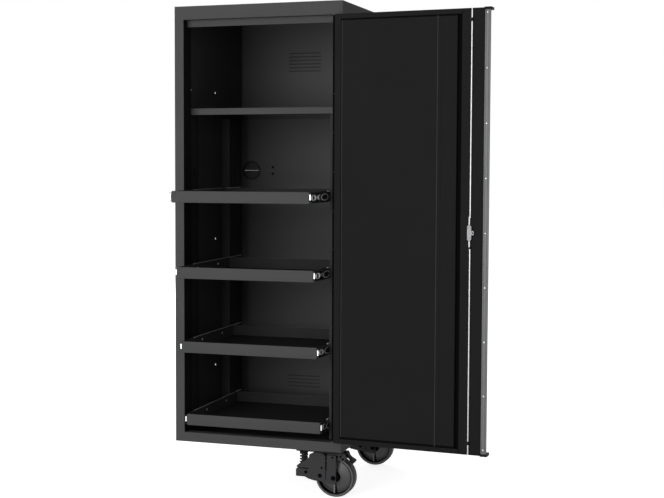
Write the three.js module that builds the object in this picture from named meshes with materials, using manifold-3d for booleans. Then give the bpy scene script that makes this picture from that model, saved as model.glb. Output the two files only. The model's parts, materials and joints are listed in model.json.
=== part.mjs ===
// Side locker for a tool chest: a tall sheet-steel cabinet on two sprung casters that bolts by its
// left side to the chest. Units are millimetres, +Z is up and the front faces -Y.
// Every shape is drawn with x = 0 on the outer left face, y = 0 on the front plane and z = 0 under
// the base; the root group then moves the middle of the outer left face to the origin.
import * as THREE from 'three';
import { mergeVertices } from 'three/addons/utils/BufferGeometryUtils.js';
import Module from 'manifold-3d';

const wasm = await Module();
wasm.setup();

// Cabinet
const WIDTH = 660;
const DEPTH = 740;
const HEIGHT = 1660;
const SHEET = 1.5;
const STILE = 36;
const TOP_RAIL = 50;
const SILL = 36;
const JAMB_DEPTH = 75;
const STOP_SETBACK = 40;
const STOP_DROP = 25;
const BASE_SHEET = 2.5;
const BASE_FLANGE = 30;

// Left wall bolt holes
const BOLT_RADIUS = 4.5;
const BOLT_COLUMNS = [160, 421];
const BOLT_HEIGHTS = [237, 758, 1354];

// Back wall vents, cable hole and cord holes
const VENT_LEFT = 214;
const VENT_LENGTH = 140;
const VENT_SLOT = 5;
const VENT_PITCH = 15;
const UPPER_VENT_DROP = 207;
const UPPER_VENT_ROWS = 6;
const LOWER_VENT_BOTTOM = 110;
const LOWER_VENT_ROWS = 4;
const CABLE_X = 46;
const CABLE_Z = 1036;
const CABLE_HOLE = 36;
const CORD_HOLE_X = 142;
const CORD_HOLE_RADIUS = 5;
const CORD_HOLE_SPACING = 28;

// Fixed shelf
const SHELF_RISE = 4;
const SHELF_LIP = 25;
const SHELF_GAP = 0.5;

// Roll-out trays, listed from the top down
const TRAY_COUNT = 4;
const TRAY_TOP = 967;
const TRAY_PITCH = 286.5;
const TRAY_HEIGHT = 43;
const TRAY_DEPTH = 555;
const TRAY_SHEET = 1.5;
const TRAY_HOME = 45;
const TRAY_DRAWN = [195, 141, 95, 48];

// Ball-bearing slides, three members each
const SLIDE_THICK = 12;
const SLIDE_LENGTH = 530;
const SLIDE_HALF = 20;
const SLIDE_WALL = 1.2;
const SLIDE_GAP = 0.5;
const SLIDE_START = 76;

// Slotted posts that carry the slides
const POST_WIDTH = 74;
const POST_SHEET = 2;
const POST_TOP = 1250;
const REAR_POST_START = 492;
const RIGHT_SPACER = 31;
const SLOT_LENGTH = 22;
const SLOT_WIDTH = 6;
const SLOTS_PER_PITCH = 3;

// Door
const HINGE_INSET = 6;
const HINGE_PROUD = 5;
const DOOR_OPEN_SHORT = 3.75;
const DOOR_TOP_GAP = 3;
const DOOR_SILL_GAP = 6;
const DOOR_THICK = 25;
const SKIN_START = 8;
const HINGE_WALL = 14;
const HINGE_LIP = 23.5;
const DOOR_LIP = 17.5;
const FREE_INSET = 30;
const ROD_SHELF = 81;
const ROD_SHELF_LEVEL = 20;
const PANEL_RECESS = 1.5;
const GROOVE_WIDTH = 16;
const CHANNEL_WIDTH = 70;
const PANEL_STEP_RISE = 1.2;
const PANEL_GAP = 1;

// Continuous hinge
const LEAF_SHEET = 1;
const LEAF_WIDTH = 30;
const LEAF_START = 3.5;
const LEAF_CLEAR = 0.2;
const KNUCKLE_RADIUS = 4.2;
const KNUCKLE_COUNT = 11;
const KNUCKLE_GAP = 0.6;
const PIN_RADIUS = 2;
const PIN_CLEAR = 0.3;

// Pull handle extrusion
const HANDLE_WALL = 2.5;
const HANDLE_GAP = 0.3;
const HANDLE_INNER = 20;
const HANDLE_OUTER = 12;
const HANDLE_PROUD = 14;

// Lock, rods and housing
const ROD_INSET = 45.5;
const ROD_RADIUS = 3.25;
const ROD_CLEAR = 0.4;
const KEY_TURN = 180;
const LOCK_Z = 827;
const LOCK_INSET = 47.7;
const HOUSING_WIDTH = 18;
const HOUSING_HEIGHT = 48;
const HOUSING_DEPTH = 8.5;
const HOUSING_WALL = 1.6;
const HOUSING_EAR = 8;
const RACK_WIDTH = 2.6;
const RACK_THICK = 3.2;
const RACK_OVERLAP = 16;
const PINION_RADIUS = 3.4;
const SPINDLE_RADIUS = 2.6;
const BARREL_RADIUS = 11;
const BARREL_PROUD = 5;
const KEYWAY = 2;

// Casters
const SWIVEL_INSET = 88;
const CASTER_INSET = 92;
const REAR_CASTER_INSET = 66;
const PLATE_LEFT = 92;
const PLATE_RIGHT = 80;
const PLATE_WIDTH = 133;
const PLATE_THICK = 10;
const RACE_RADIUS = 40;
const RACE_HEIGHT = 4.6;
const RACE_GAP = 0.4;
const CROWN_THICK = 5;
const CROWN_WIDTH = 84;
const CROWN_LEFT = 50;
const CROWN_RIGHT = 14;
const YOKE_PLATE = 4;
const PIVOT_Z = -104;
const PIVOT_LEAD = 7;
const PIVOT_RADIUS = 6;
const AXLE_TRAIL = 45;
const WHEEL_RADIUS = 76;
const WHEEL_WIDTH = 46;
const RIM_RADIUS = 59;
const TREAD_CHAMFER = 4;
const WEB_WIDTH = 25;
const HUB_RADIUS = 19;
const FLOOR_Z = -186;
const AXLE_RADIUS = 8;
const AXLE_CLEAR = 0.3;
const ARM_PLATE = 4;
const ARM_GAP = 0.6;
const LEG_START = 18;
const LEG_WIDTH = 37;
const LEG_TOP = -24;
const PAD_INSET = 1.5;
const NOSE_REACH = 103;
const NOSE_LENGTH = 34;
const NOSE_TOP = -82;
const NOSE_BOTTOM = -113;
const SEAT_TOP = -70;
const SEAT_THICK = 4;
const CHEEK_EDGE = -80;
const SHOULDER_Z = -38;
const SPRING_REACH = 83;
const SPRING_TURNS = 4;
const SPRING_RADIUS = 12;
const SPRING_WIRE = 5;
const SPRING_TOP = -27;
const SPRING_CLEAR = 0.3;
const PULL_BOLT_RADIUS = 4;
const PULL_NUT_RADIUS = 9;
const PULL_NUT_THICK = 4;
const PEDAL_REACH = 74;
const PEDAL_HINGE_Z = -21;
const PEDAL_WIDTH = 40;
const EAR_WIDTH = 58;
const EAR_PLATE = 3;
const EAR_FOOT = -45;

// Derived sizes
const OPEN_LEFT = STILE;
const OPEN_RIGHT = WIDTH - STILE;
const OPEN_TOP = HEIGHT - TOP_RAIL;
const SHELF_TOP = POST_TOP + SHELF_RISE + SHELF_LIP;
const HINGE_X = OPEN_RIGHT + HINGE_INSET;
const DOOR_TOP = OPEN_TOP - DOOR_TOP_GAP;
const DOOR_BOTTOM = SILL + DOOR_SILL_GAP;
const FREE_WALL = HINGE_X - OPEN_LEFT - FREE_INSET;
const PANEL_END = FREE_WALL - ROD_SHELF - GROOVE_WIDTH;
const PANEL_STEP = PANEL_END - CHANNEL_WIDTH;
const ROD_U = FREE_WALL - ROD_INSET;
const LOCK_U = FREE_WALL - LOCK_INSET;
const RIGHT_POST_X = OPEN_RIGHT - RIGHT_SPACER;
const TRAY_LEFT = OPEN_LEFT + SLIDE_THICK;
const TRAY_RIGHT = RIGHT_POST_X - SLIDE_THICK;
const ROD_V = ROD_SHELF_LEVEL + ROD_CLEAR + ROD_RADIUS;
const ROD_TRAVEL = (PINION_RADIUS + ROD_CLEAR / 2) * THREE.MathUtils.degToRad(KEY_TURN);
const SWIVEL_X = WIDTH - SWIVEL_INSET;
const PIVOT_X = SWIVEL_X - PIVOT_LEAD;
const AXLE_X = SWIVEL_X + AXLE_TRAIL;
const AXLE_Z = FLOOR_Z + WHEEL_RADIUS;
const LEG_LEFT = SWIVEL_X + LEG_START;
const LEG_RIGHT = LEG_LEFT + LEG_WIDTH;
const NOSE_LEFT = SWIVEL_X - NOSE_REACH;
const NOSE_RIGHT = NOSE_LEFT + NOSE_LENGTH;
const SPRING_X = SWIVEL_X - SPRING_REACH;
const PEDAL_HINGE_X = SWIVEL_X + PEDAL_REACH;
const RACE_BOTTOM = -PLATE_THICK - RACE_HEIGHT;
const CROWN_TOP = RACE_BOTTOM - RACE_GAP;
const CROWN_BOTTOM = CROWN_TOP - CROWN_THICK;
const YOKE_HALF = CROWN_WIDTH / 2;
const ARM_OUTER = YOKE_HALF - YOKE_PLATE - ARM_GAP;
const ARM_INNER = ARM_OUTER - ARM_PLATE;

// Sides of turned pieces, by size
const PIN_SIDES = 12;
const ROD_SIDES = 16;
const BORE_SIDES = 24;
const DISC_SIDES = 36;
const COIL_STEPS = 8;
const COIL_SIDES = 5;

// Finishes
const finish = (color, roughness, metalness) => new THREE.MeshStandardMaterial({
  color, roughness, metalness,
});
const frameGrey = finish(0x4b4b4c, 0.55, 0.2);
const panelBlack = finish(0x222223, 0.6, 0.2);
const interiorGrey = finish(0x2c2c2d, 0.6, 0.2);
const slideBlack = finish(0x1c1c1d, 0.4, 0.6);
const zinc = finish(0xd4d6d8, 0.25, 0.9);
const aluminium = finish(0x86888a, 0.4, 0.8);
const casterGrey = finish(0x47474a, 0.5, 0.5);
const rubber = finish(0x2b2b2c, 0.8, 0);
const plastic = finish(0x151516, 0.6, 0);

// Solid helpers
function toSolid(geometry) {
  const bare = geometry.clone();
  bare.deleteAttribute('normal');
  bare.deleteAttribute('uv');
  const welded = mergeVertices(bare, 1e-4);
  const mesh = new wasm.Mesh({
    numProp: 3,
    vertProperties: new Float32Array(welded.attributes.position.array),
    triVerts: new Uint32Array(welded.index.array),
  });
  return new wasm.Manifold(mesh);
}

function toGeometry(solid) {
  const mesh = solid.getMesh();
  const geometry = new THREE.BufferGeometry();
  geometry.setAttribute('position', new THREE.BufferAttribute(mesh.vertProperties.slice(), 3));
  geometry.setIndex(new THREE.BufferAttribute(mesh.triVerts.slice(), 1));
  const flat = geometry.toNonIndexed();
  flat.computeVertexNormals();
  return flat;
}

function box(x0, x1, y0, y1, z0, z1) {
  const geometry = new THREE.BoxGeometry(x1 - x0, y1 - y0, z1 - z0);
  geometry.translate((x0 + x1) / 2, (y0 + y1) / 2, (z0 + z1) / 2);
  return toSolid(geometry);
}

function rodZ(x, y, z0, z1, radius, sides = ROD_SIDES) {
  const geometry = new THREE.CylinderGeometry(radius, radius, z1 - z0, sides);
  geometry.rotateX(Math.PI / 2);
  geometry.translate(x, y, (z0 + z1) / 2);
  return toSolid(geometry);
}

function rodY(x, y0, y1, z, radius, sides = BORE_SIDES) {
  const geometry = new THREE.CylinderGeometry(radius, radius, y1 - y0, sides);
  geometry.translate(x, (y0 + y1) / 2, z);
  return toSolid(geometry);
}

function rodX(x0, x1, y, z, radius, sides = ROD_SIDES) {
  const geometry = new THREE.CylinderGeometry(radius, radius, x1 - x0, sides);
  geometry.rotateZ(Math.PI / 2);
  geometry.translate((x0 + x1) / 2, y, z);
  return toSolid(geometry);
}

// A plate cut to an outline in x and z, standing between two depths
function plateY(outline, y0, y1) {
  const shape = new THREE.Shape(outline.map(([x, z]) => new THREE.Vector2(x, z)));
  const geometry = new THREE.ExtrudeGeometry(shape, { depth: y1 - y0, bevelEnabled: false });
  geometry.rotateX(Math.PI / 2);
  geometry.translate(0, y1, 0);
  return toSolid(geometry);
}

const join = (...solids) => solids.reduce((whole, next) => whole.add(next));
const cut = (solid, ...tools) => tools.reduce((whole, next) => whole.subtract(next), solid);

function piece(name, solid, material) {
  const mesh = new THREE.Mesh(toGeometry(solid), material);
  mesh.name = name;
  return mesh;
}

function group(name, ...children) {
  const node = new THREE.Group();
  node.name = name;
  node.add(...children);
  return node;
}

// Door boxes are given by distance from the hinge axis and by depth from the outer face
function doorBox(u0, u1, v0, v1, z0, z1) {
  return box(u0, u1, -(v1 + HINGE_PROUD), -(v0 + HINGE_PROUD), z0, z1);
}

// Cabinet shell
function leftSidePanel() {
  const panel = box(0, SHEET, SHEET, DEPTH - SHEET, 0, HEIGHT);
  const holes = BOLT_COLUMNS.flatMap((y) => BOLT_HEIGHTS.map(
    (z) => rodX(-SHEET, 2 * SHEET, y, z, BOLT_RADIUS),
  ));
  return piece('left_side_panel', cut(panel, ...holes), frameGrey);
}

function rightSidePanel() {
  const panel = box(WIDTH - SHEET, WIDTH, SHEET, DEPTH - SHEET, 0, HEIGHT);
  return piece('right_side_panel', panel, frameGrey);
}

function ventSlots(bottom, rows) {
  return Array.from({ length: rows }, (_, row) => {
    const z = bottom + row * VENT_PITCH;
    return box(VENT_LEFT, VENT_LEFT + VENT_LENGTH, DEPTH - 2 * SHEET, DEPTH + SHEET, z, z + VENT_SLOT);
  });
}

function backPanel() {
  const panel = box(0, WIDTH, DEPTH - SHEET, DEPTH, 0, HEIGHT);
  const through = [DEPTH - 2 * SHEET, DEPTH + SHEET];
  const cords = [-1, 1].map((side) => rodY(
    CORD_HOLE_X, ...through, CABLE_Z + side * CORD_HOLE_SPACING / 2, CORD_HOLE_RADIUS,
  ));
  const cable = rodY(CABLE_X, ...through, CABLE_Z, CABLE_HOLE, DISC_SIDES);
  const slots = [
    ...ventSlots(HEIGHT - UPPER_VENT_DROP, UPPER_VENT_ROWS),
    ...ventSlots(LOWER_VENT_BOTTOM, LOWER_VENT_ROWS),
  ];
  return piece('back_panel', cut(panel, cable, ...cords, ...slots), interiorGrey);
}

function topPanel() {
  const sheet = box(SHEET, WIDTH - SHEET, SHEET, DEPTH - SHEET, HEIGHT - SHEET, HEIGHT);
  return piece('top_panel', sheet, frameGrey);
}

function basePan() {
  const x0 = SHEET;
  const x1 = WIDTH - SHEET;
  const y0 = SHEET;
  const y1 = DEPTH - SHEET;
  const outer = box(x0, x1, y0, y1, 0, BASE_FLANGE);
  const inner = box(
    x0 + SHEET, x1 - SHEET, y0 + SHEET, y1 - SHEET, BASE_SHEET, BASE_FLANGE + SHEET,
  );
  return piece('base_pan', cut(outer, inner), interiorGrey);
}

function faceFrame() {
  const front = cut(
    box(0, WIDTH, 0, SHEET, 0, HEIGHT),
    box(OPEN_LEFT, OPEN_RIGHT, -SHEET, 2 * SHEET, SILL, OPEN_TOP),
  );
  const leftJamb = box(OPEN_LEFT - SHEET, OPEN_LEFT, 0, JAMB_DEPTH, SILL - SHEET, OPEN_TOP + SHEET);
  const rightJamb = box(OPEN_RIGHT, OPEN_RIGHT + SHEET, 0, JAMB_DEPTH, SILL - SHEET, OPEN_TOP + SHEET);
  const header = box(OPEN_LEFT, OPEN_RIGHT, 0, STOP_SETBACK, OPEN_TOP, OPEN_TOP + SHEET);
  const stop = box(
    OPEN_LEFT, OPEN_RIGHT, STOP_SETBACK - SHEET, STOP_SETBACK, OPEN_TOP - STOP_DROP, OPEN_TOP + SHEET,
  );
  const sill = box(OPEN_LEFT, OPEN_RIGHT, 0, STOP_SETBACK, SILL - SHEET, SILL);
  const strikes = rodZ(HINGE_X - ROD_U, ROD_V, -SHEET, HEIGHT + SHEET, ROD_RADIUS + 2 * ROD_CLEAR);
  const returns = cut(join(header, sill), strikes);
  return piece('face_frame', join(front, leftJamb, rightJamb, returns, stop), frameGrey);
}

function fixedShelf() {
  const x0 = SHEET + SHELF_GAP;
  const x1 = WIDTH - SHEET - SHELF_GAP;
  const y0 = JAMB_DEPTH + SHELF_GAP;
  const y1 = DEPTH - SHEET - SHELF_GAP;
  const outer = box(x0, x1, y0, y1, SHELF_TOP - SHELF_LIP, SHELF_TOP);
  const hollow = box(
    x0 - SHEET, x1 + SHEET, y0 + SHEET, y1 - SHEET, SHELF_TOP - SHELF_LIP - SHEET, SHELF_TOP - SHEET,
  );
  return piece('fixed_shelf', cut(outer, hollow), frameGrey);
}

// A channel post with its slotted web at faceX and its legs running to the side panel
function slottedPost(name, faceX, wallX, y0) {
  const sense = Math.sign(faceX - wallX);
  const z0 = BASE_FLANGE + SHEET;
  const y1 = y0 + POST_WIDTH;
  const span = (a, b, ...rest) => box(Math.min(a, b), Math.max(a, b), ...rest);
  const web = span(faceX - sense * POST_SHEET, faceX, y0, y1, z0, POST_TOP);
  const legs = [y0, y1 - POST_SHEET].map((y) => span(wallX, faceX, y, y + POST_SHEET, z0, POST_TOP));
  const step = TRAY_PITCH / SLOTS_PER_PITCH;
  const first = TRAY_TOP - (TRAY_COUNT - 1) * TRAY_PITCH + step / 2;
  const count = Math.floor((POST_TOP - SLOT_LENGTH - first) / step);
  const slots = Array.from({ length: count }, (_, i) => span(
    faceX - 2 * sense * POST_SHEET, faceX + sense * POST_SHEET,
    y0 + POST_WIDTH / 2 - SLOT_WIDTH / 2, y0 + POST_WIDTH / 2 + SLOT_WIDTH / 2,
    first + i * step, first + i * step + SLOT_LENGTH,
  ));
  return piece(name, cut(join(web, ...legs), ...slots), interiorGrey);
}

// Roll-out trays on three-member slides
// One slide member: a channel of the given half height whose web stands at webX and whose lips
// run towards lipX
function slideMember(name, webX, lipX, half, y0, middleZ, material) {
  const sense = Math.sign(lipX - webX);
  const span = (a, b, ...rest) => box(Math.min(a, b), Math.max(a, b), ...rest);
  const y1 = y0 + SLIDE_LENGTH;
  const web = span(webX, webX + sense * SLIDE_WALL, y0, y1, middleZ - half, middleZ + half);
  const lips = [middleZ - half, middleZ + half - SLIDE_WALL].map(
    (z) => span(webX, lipX, y0, y1, z, z + SLIDE_WALL),
  );
  return piece(name, join(web, ...lips), material);
}

function slide(tray, side, mountX, sense, drawn, middleZ) {
  const step = SLIDE_WALL + SLIDE_GAP;
  const homeInner = TRAY_HOME + SLIDE_GAP;
  const homeMiddle = (SLIDE_START + homeInner) / 2;
  const at = (offset) => mountX + sense * offset;
  const label = (member) => `tray_${tray}_${side}_slide_${member}`;
  const inner = SLIDE_THICK;
  return [
    slideMember(label('outer'), at(0), at(inner - step), SLIDE_HALF, SLIDE_START, middleZ, slideBlack),
    slideMember(
      label('middle'), at(step), at(inner - step), SLIDE_HALF - step, homeMiddle - drawn / 2, middleZ,
      slideBlack,
    ),
    slideMember(
      label('inner'), at(inner), at(2 * step), SLIDE_HALF - 2 * step, homeInner - drawn, middleZ, slideBlack,
    ),
  ];
}

function tray(number) {
  const drawn = TRAY_DRAWN[number - 1];
  const top = TRAY_TOP - (number - 1) * TRAY_PITCH;
  const bottom = top - TRAY_HEIGHT;
  const front = TRAY_HOME - drawn;
  const outer = box(TRAY_LEFT, TRAY_RIGHT, front, front + TRAY_DEPTH, bottom, top);
  const hollow = box(
    TRAY_LEFT + TRAY_SHEET, TRAY_RIGHT - TRAY_SHEET, front + TRAY_SHEET,
    front + TRAY_DEPTH - TRAY_SHEET, bottom + TRAY_SHEET, top + TRAY_SHEET,
  );
  const middleZ = (top + bottom) / 2;
  return group(
    `tray_${number}`,
    piece(`tray_${number}_pan`, cut(outer, hollow), frameGrey),
    ...slide(number, 'left', OPEN_LEFT, 1, drawn, middleZ),
    ...slide(number, 'right', RIGHT_POST_X, -1, drawn, middleZ),
  );
}

// Continuous hinge
function knuckleSpans(parity) {
  const pitch = (DOOR_TOP - DOOR_BOTTOM) / KNUCKLE_COUNT;
  return Array.from({ length: KNUCKLE_COUNT }, (_, i) => i)
    .filter((i) => i % 2 === parity)
    .map((i) => [
      DOOR_BOTTOM + i * pitch + KNUCKLE_GAP / 2,
      DOOR_BOTTOM + (i + 1) * pitch - KNUCKLE_GAP / 2,
    ]);
}

// The leaf's plate lies off the axis towards side, 1 for the stile and -1 for the door
function hingeLeaf(name, parity, side, clear) {
  const edges = [side * (HINGE_PROUD - clear - LEAF_SHEET), side * (HINGE_PROUD - clear)];
  const y = edges.sort((a, b) => a - b);
  const plate = box(LEAF_START, LEAF_WIDTH, ...y, DOOR_BOTTOM, DOOR_TOP);
  const knuckles = knuckleSpans(parity).map(([z0, z1]) => join(
    rodZ(0, 0, z0, z1, KNUCKLE_RADIUS),
    box(0, LEAF_START, ...y, z0, z1),
  ));
  const bore = rodZ(0, 0, DOOR_BOTTOM - SHEET, DOOR_TOP + SHEET, PIN_RADIUS + PIN_CLEAR, PIN_SIDES);
  return piece(name, cut(join(plate, ...knuckles), bore), panelBlack);
}

function hingePin() {
  return piece('hinge_pin', rodZ(0, 0, DOOR_BOTTOM, DOOR_TOP, PIN_RADIUS, PIN_SIDES), zinc);
}

// Door
function doorPan() {
  const skin = doorBox(SKIN_START, FREE_WALL, 0, SHEET, DOOR_BOTTOM, DOOR_TOP);
  const hingeWall = doorBox(HINGE_WALL, HINGE_WALL + SHEET, 0, DOOR_THICK, DOOR_BOTTOM, DOOR_TOP);
  const freeWall = doorBox(FREE_WALL - SHEET, FREE_WALL, 0, DOOR_THICK, DOOR_BOTTOM, DOOR_TOP);
  const lipV = [DOOR_THICK - SHEET, DOOR_THICK];
  const hingeLip = doorBox(HINGE_WALL, HINGE_WALL + HINGE_LIP, ...lipV, DOOR_BOTTOM, DOOR_TOP);
  const ends = [[DOOR_BOTTOM, 1], [DOOR_TOP, -1]].map(([z, sense]) => {
    const wall = [z, z + sense * SHEET].sort((a, b) => a - b);
    const lip = [z, z + sense * DOOR_LIP].sort((a, b) => a - b);
    return join(
      doorBox(HINGE_WALL, FREE_WALL, 0, DOOR_THICK, ...wall),
      doorBox(HINGE_WALL, FREE_WALL - ROD_SHELF, ...lipV, ...lip),
    );
  });
  const rodShelf = doorBox(
    FREE_WALL - ROD_SHELF, FREE_WALL, ROD_SHELF_LEVEL - SHEET, ROD_SHELF_LEVEL, DOOR_BOTTOM, DOOR_TOP,
  );
  const rodPath = rodZ(
    ROD_U, -(ROD_V + HINGE_PROUD), DOOR_BOTTOM - SHEET, DOOR_TOP + SHEET, ROD_RADIUS + ROD_CLEAR,
  );
  const spindle = rodY(
    LOCK_U, -2 * DOOR_THICK, 0, LOCK_Z, SPINDLE_RADIUS + AXLE_CLEAR,
  );
  return piece(
    'door_pan', cut(join(skin, hingeWall, freeWall, hingeLip, ...ends, rodShelf), rodPath, spindle),
    panelBlack,
  );
}

function doorInnerPanel() {
  const u0 = HINGE_WALL + HINGE_LIP + PANEL_GAP;
  const z0 = DOOR_BOTTOM + DOOR_LIP + PANEL_GAP;
  const z1 = DOOR_TOP - DOOR_LIP - PANEL_GAP;
  const face = DOOR_THICK - PANEL_RECESS;
  const sheet = doorBox(u0, PANEL_STEP, face - SHEET, face, z0, z1);
  const raised = face + PANEL_STEP_RISE;
  const step = doorBox(PANEL_STEP - SHEET, PANEL_STEP, face - SHEET, raised, z0, z1);
  const channel = doorBox(PANEL_STEP - SHEET, PANEL_END, raised - SHEET, raised, z0, z1);
  const hingeFold = doorBox(u0, u0 + SHEET, SHEET, face, z0, z1);
  const freeFold = doorBox(PANEL_END - SHEET, PANEL_END, SHEET, raised, z0, z1);
  return piece('door_inner_panel', join(sheet, step, channel, hingeFold, freeFold), panelBlack);
}

function pullHandle() {
  const u0 = FREE_WALL + HANDLE_GAP;
  const web = doorBox(u0, u0 + HANDLE_WALL, -HANDLE_PROUD, DOOR_THICK, DOOR_BOTTOM, DOOR_TOP);
  const innerFlange = doorBox(
    u0, u0 + HANDLE_INNER, DOOR_THICK - HANDLE_WALL, DOOR_THICK, DOOR_BOTTOM, DOOR_TOP,
  );
  const outerFlange = doorBox(
    u0, u0 + HANDLE_OUTER, -HANDLE_PROUD, HANDLE_WALL - HANDLE_PROUD, DOOR_BOTTOM, DOOR_TOP,
  );
  return piece('pull_handle', join(web, innerFlange, outerFlange), aluminium);
}

// Lock: a pinion on the key spindle drives one rack on each rod inside a flat housing
function latchHousing() {
  const half = HOUSING_WIDTH / 2;
  const tall = HOUSING_HEIGHT / 2;
  const v0 = ROD_SHELF_LEVEL;
  const shell = doorBox(LOCK_U - half, LOCK_U + half, v0, v0 + HOUSING_DEPTH, LOCK_Z - tall, LOCK_Z + tall);
  const channel = doorBox(
    LOCK_U - half + HOUSING_WALL, LOCK_U + half - HOUSING_WALL, v0 - HOUSING_WALL,
    v0 + HOUSING_DEPTH - HOUSING_WALL, LOCK_Z - 2 * tall, LOCK_Z + 2 * tall,
  );
  const ear = doorBox(
    LOCK_U + half, LOCK_U + half + HOUSING_EAR, v0, v0 + 2 * HOUSING_WALL,
    LOCK_Z - HOUSING_EAR, LOCK_Z + HOUSING_EAR,
  );
  return piece('latch_housing', join(cut(shell, channel), ear), zinc);
}

function lockSpindle() {
  const y = (v) => -(v + HINGE_PROUD);
  const end = ROD_SHELF_LEVEL + HOUSING_DEPTH - HOUSING_WALL - ROD_CLEAR;
  const shaft = rodY(LOCK_U, y(end), y(-BARREL_PROUD), LOCK_Z, SPINDLE_RADIUS, ROD_SIDES);
  const pinion = rodY(LOCK_U, y(end), y(ROD_SHELF_LEVEL + ROD_CLEAR), LOCK_Z, PINION_RADIUS, ROD_SIDES);
  const barrel = rodY(LOCK_U, y(-ROD_CLEAR), y(-BARREL_PROUD), LOCK_Z, BARREL_RADIUS);
  const keyway = doorBox(
    LOCK_U - KEYWAY / 2, LOCK_U + KEYWAY / 2, -2 * BARREL_PROUD, -BARREL_PROUD + KEYWAY,
    LOCK_Z - BARREL_RADIUS / 2, LOCK_Z + BARREL_RADIUS / 2,
  );
  return piece('lock_spindle', cut(join(shaft, pinion, barrel), keyway), zinc);
}

// side is 1 for the upper rod and -1 for the lower one; each rack reaches past the pinion
function latchRod(name, side, tip) {
  const span = (a, b) => [Math.min(a, b), Math.max(a, b)];
  const foot = LOCK_Z + side * (HOUSING_HEIGHT / 2 + ROD_TRAVEL + ROD_CLEAR);
  const shoulder = foot + side * ROD_RADIUS;
  const shaft = rodZ(ROD_U, -(ROD_V + HINGE_PROUD), ...span(foot, tip), ROD_RADIUS);
  const near = LOCK_U + side * (PINION_RADIUS + ROD_CLEAR);
  const rackU = span(near, near + side * RACK_WIDTH);
  const v = [ROD_V - RACK_THICK / 2, ROD_V + RACK_THICK / 2];
  const rack = doorBox(...rackU, ...v, ...span(LOCK_Z - side * RACK_OVERLAP, shoulder));
  const knee = doorBox(
    Math.min(...rackU, ROD_U), Math.max(...rackU, ROD_U), ...v, ...span(foot, shoulder),
  );
  return piece(name, join(shaft, rack, knee), zinc);
}

// Casters, drawn around the swivel axis at the given depth
function casterPlate(name, y) {
  const plate = box(
    SWIVEL_X - PLATE_LEFT, SWIVEL_X + PLATE_RIGHT, y - PLATE_WIDTH / 2, y + PLATE_WIDTH / 2,
    -PLATE_THICK, 0,
  );
  const race = rodZ(SWIVEL_X, y, RACE_BOTTOM, -PLATE_THICK / 2, RACE_RADIUS, DISC_SIDES);
  return piece(name, join(plate, race), casterGrey);
}

// The two ears that carry the pedal's hinge, each with a stub of its pin
function brakeEars(y) {
  const outline = [
    [LEG_LEFT, CROWN_TOP],
    [PEDAL_HINGE_X + 2 * PIVOT_RADIUS, CROWN_TOP],
    [PEDAL_HINGE_X + 3 * PIVOT_RADIUS, PEDAL_HINGE_Z - PIVOT_RADIUS],
    [PEDAL_HINGE_X + 2 * PIVOT_RADIUS, EAR_FOOT],
    [PEDAL_HINGE_X - PIVOT_RADIUS, EAR_FOOT],
    [LEG_LEFT, PEDAL_HINGE_Z - PIVOT_RADIUS],
  ];
  const outer = EAR_WIDTH / 2;
  return [-1, 1].flatMap((sense) => {
    const inner = outer - EAR_PLATE;
    const stub = PEDAL_WIDTH / 2 + ARM_GAP;
    const [near, far] = sense < 0 ? [-outer, -inner] : [inner, outer];
    const [start, end] = sense < 0 ? [-outer, -stub] : [stub, outer];
    return [
      plateY(outline, y + near, y + far),
      rodY(PEDAL_HINGE_X, y + start, y + end, PEDAL_HINGE_Z, PIVOT_RADIUS / 2),
    ];
  });
}

function casterYoke(name, y, pedal) {
  const right = pedal ? PEDAL_HINGE_X - PIVOT_RADIUS : SWIVEL_X + CROWN_RIGHT;
  const ears = pedal ? brakeEars(y) : [];
  const crown = box(
    SWIVEL_X - CROWN_LEFT, SWIVEL_X + CROWN_RIGHT, y - YOKE_HALF, y + YOKE_HALF, CROWN_BOTTOM, CROWN_TOP,
  );
  const tongue = box(
    SWIVEL_X, right, y - EAR_WIDTH / 2, y + EAR_WIDTH / 2, CROWN_BOTTOM, CROWN_TOP,
  );
  const outline = [
    [NOSE_LEFT + ARM_PLATE, CHEEK_EDGE],
    [NOSE_LEFT + ARM_PLATE, SEAT_TOP - SEAT_THICK / 2],
    [SPRING_X, SEAT_TOP + 2 * SEAT_THICK],
    [SWIVEL_X - CROWN_LEFT, SHOULDER_Z],
    [SWIVEL_X - CROWN_LEFT, CROWN_TOP],
    [SWIVEL_X + CROWN_RIGHT, CROWN_TOP],
    [SWIVEL_X + CROWN_RIGHT, PIVOT_Z - 2 * PIVOT_RADIUS],
    [PIVOT_X - 3 * PIVOT_RADIUS, PIVOT_Z - 3 * PIVOT_RADIUS],
    [NOSE_RIGHT + 4 * PIVOT_RADIUS, NOSE_BOTTOM - PIVOT_RADIUS],
    [NOSE_RIGHT + 3 * PIVOT_RADIUS, CHEEK_EDGE],
  ];
  const cheeks = [y - YOKE_HALF, y + YOKE_HALF - YOKE_PLATE].map(
    (edge) => plateY(outline, edge, edge + YOKE_PLATE),
  );
  const seat = box(
    NOSE_LEFT + ARM_PLATE, NOSE_RIGHT + 2 * PIVOT_RADIUS, y - YOKE_HALF, y + YOKE_HALF,
    SEAT_TOP - SEAT_THICK, SEAT_TOP,
  );
  const head = YOKE_HALF + YOKE_PLATE;
  const pivots = [[-head, -ARM_INNER], [ARM_INNER, head]].map(
    ([near, far]) => rodY(PIVOT_X, y + near, y + far, PIVOT_Z, PIVOT_RADIUS),
  );
  const boltHole = rodZ(SPRING_X, y, SEAT_TOP - 2 * SEAT_THICK, SEAT_TOP + SEAT_THICK, 2 * PULL_BOLT_RADIUS);
  return piece(name, cut(join(crown, tongue, ...ears, ...cheeks, seat, ...pivots), boltHole), casterGrey);
}

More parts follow.
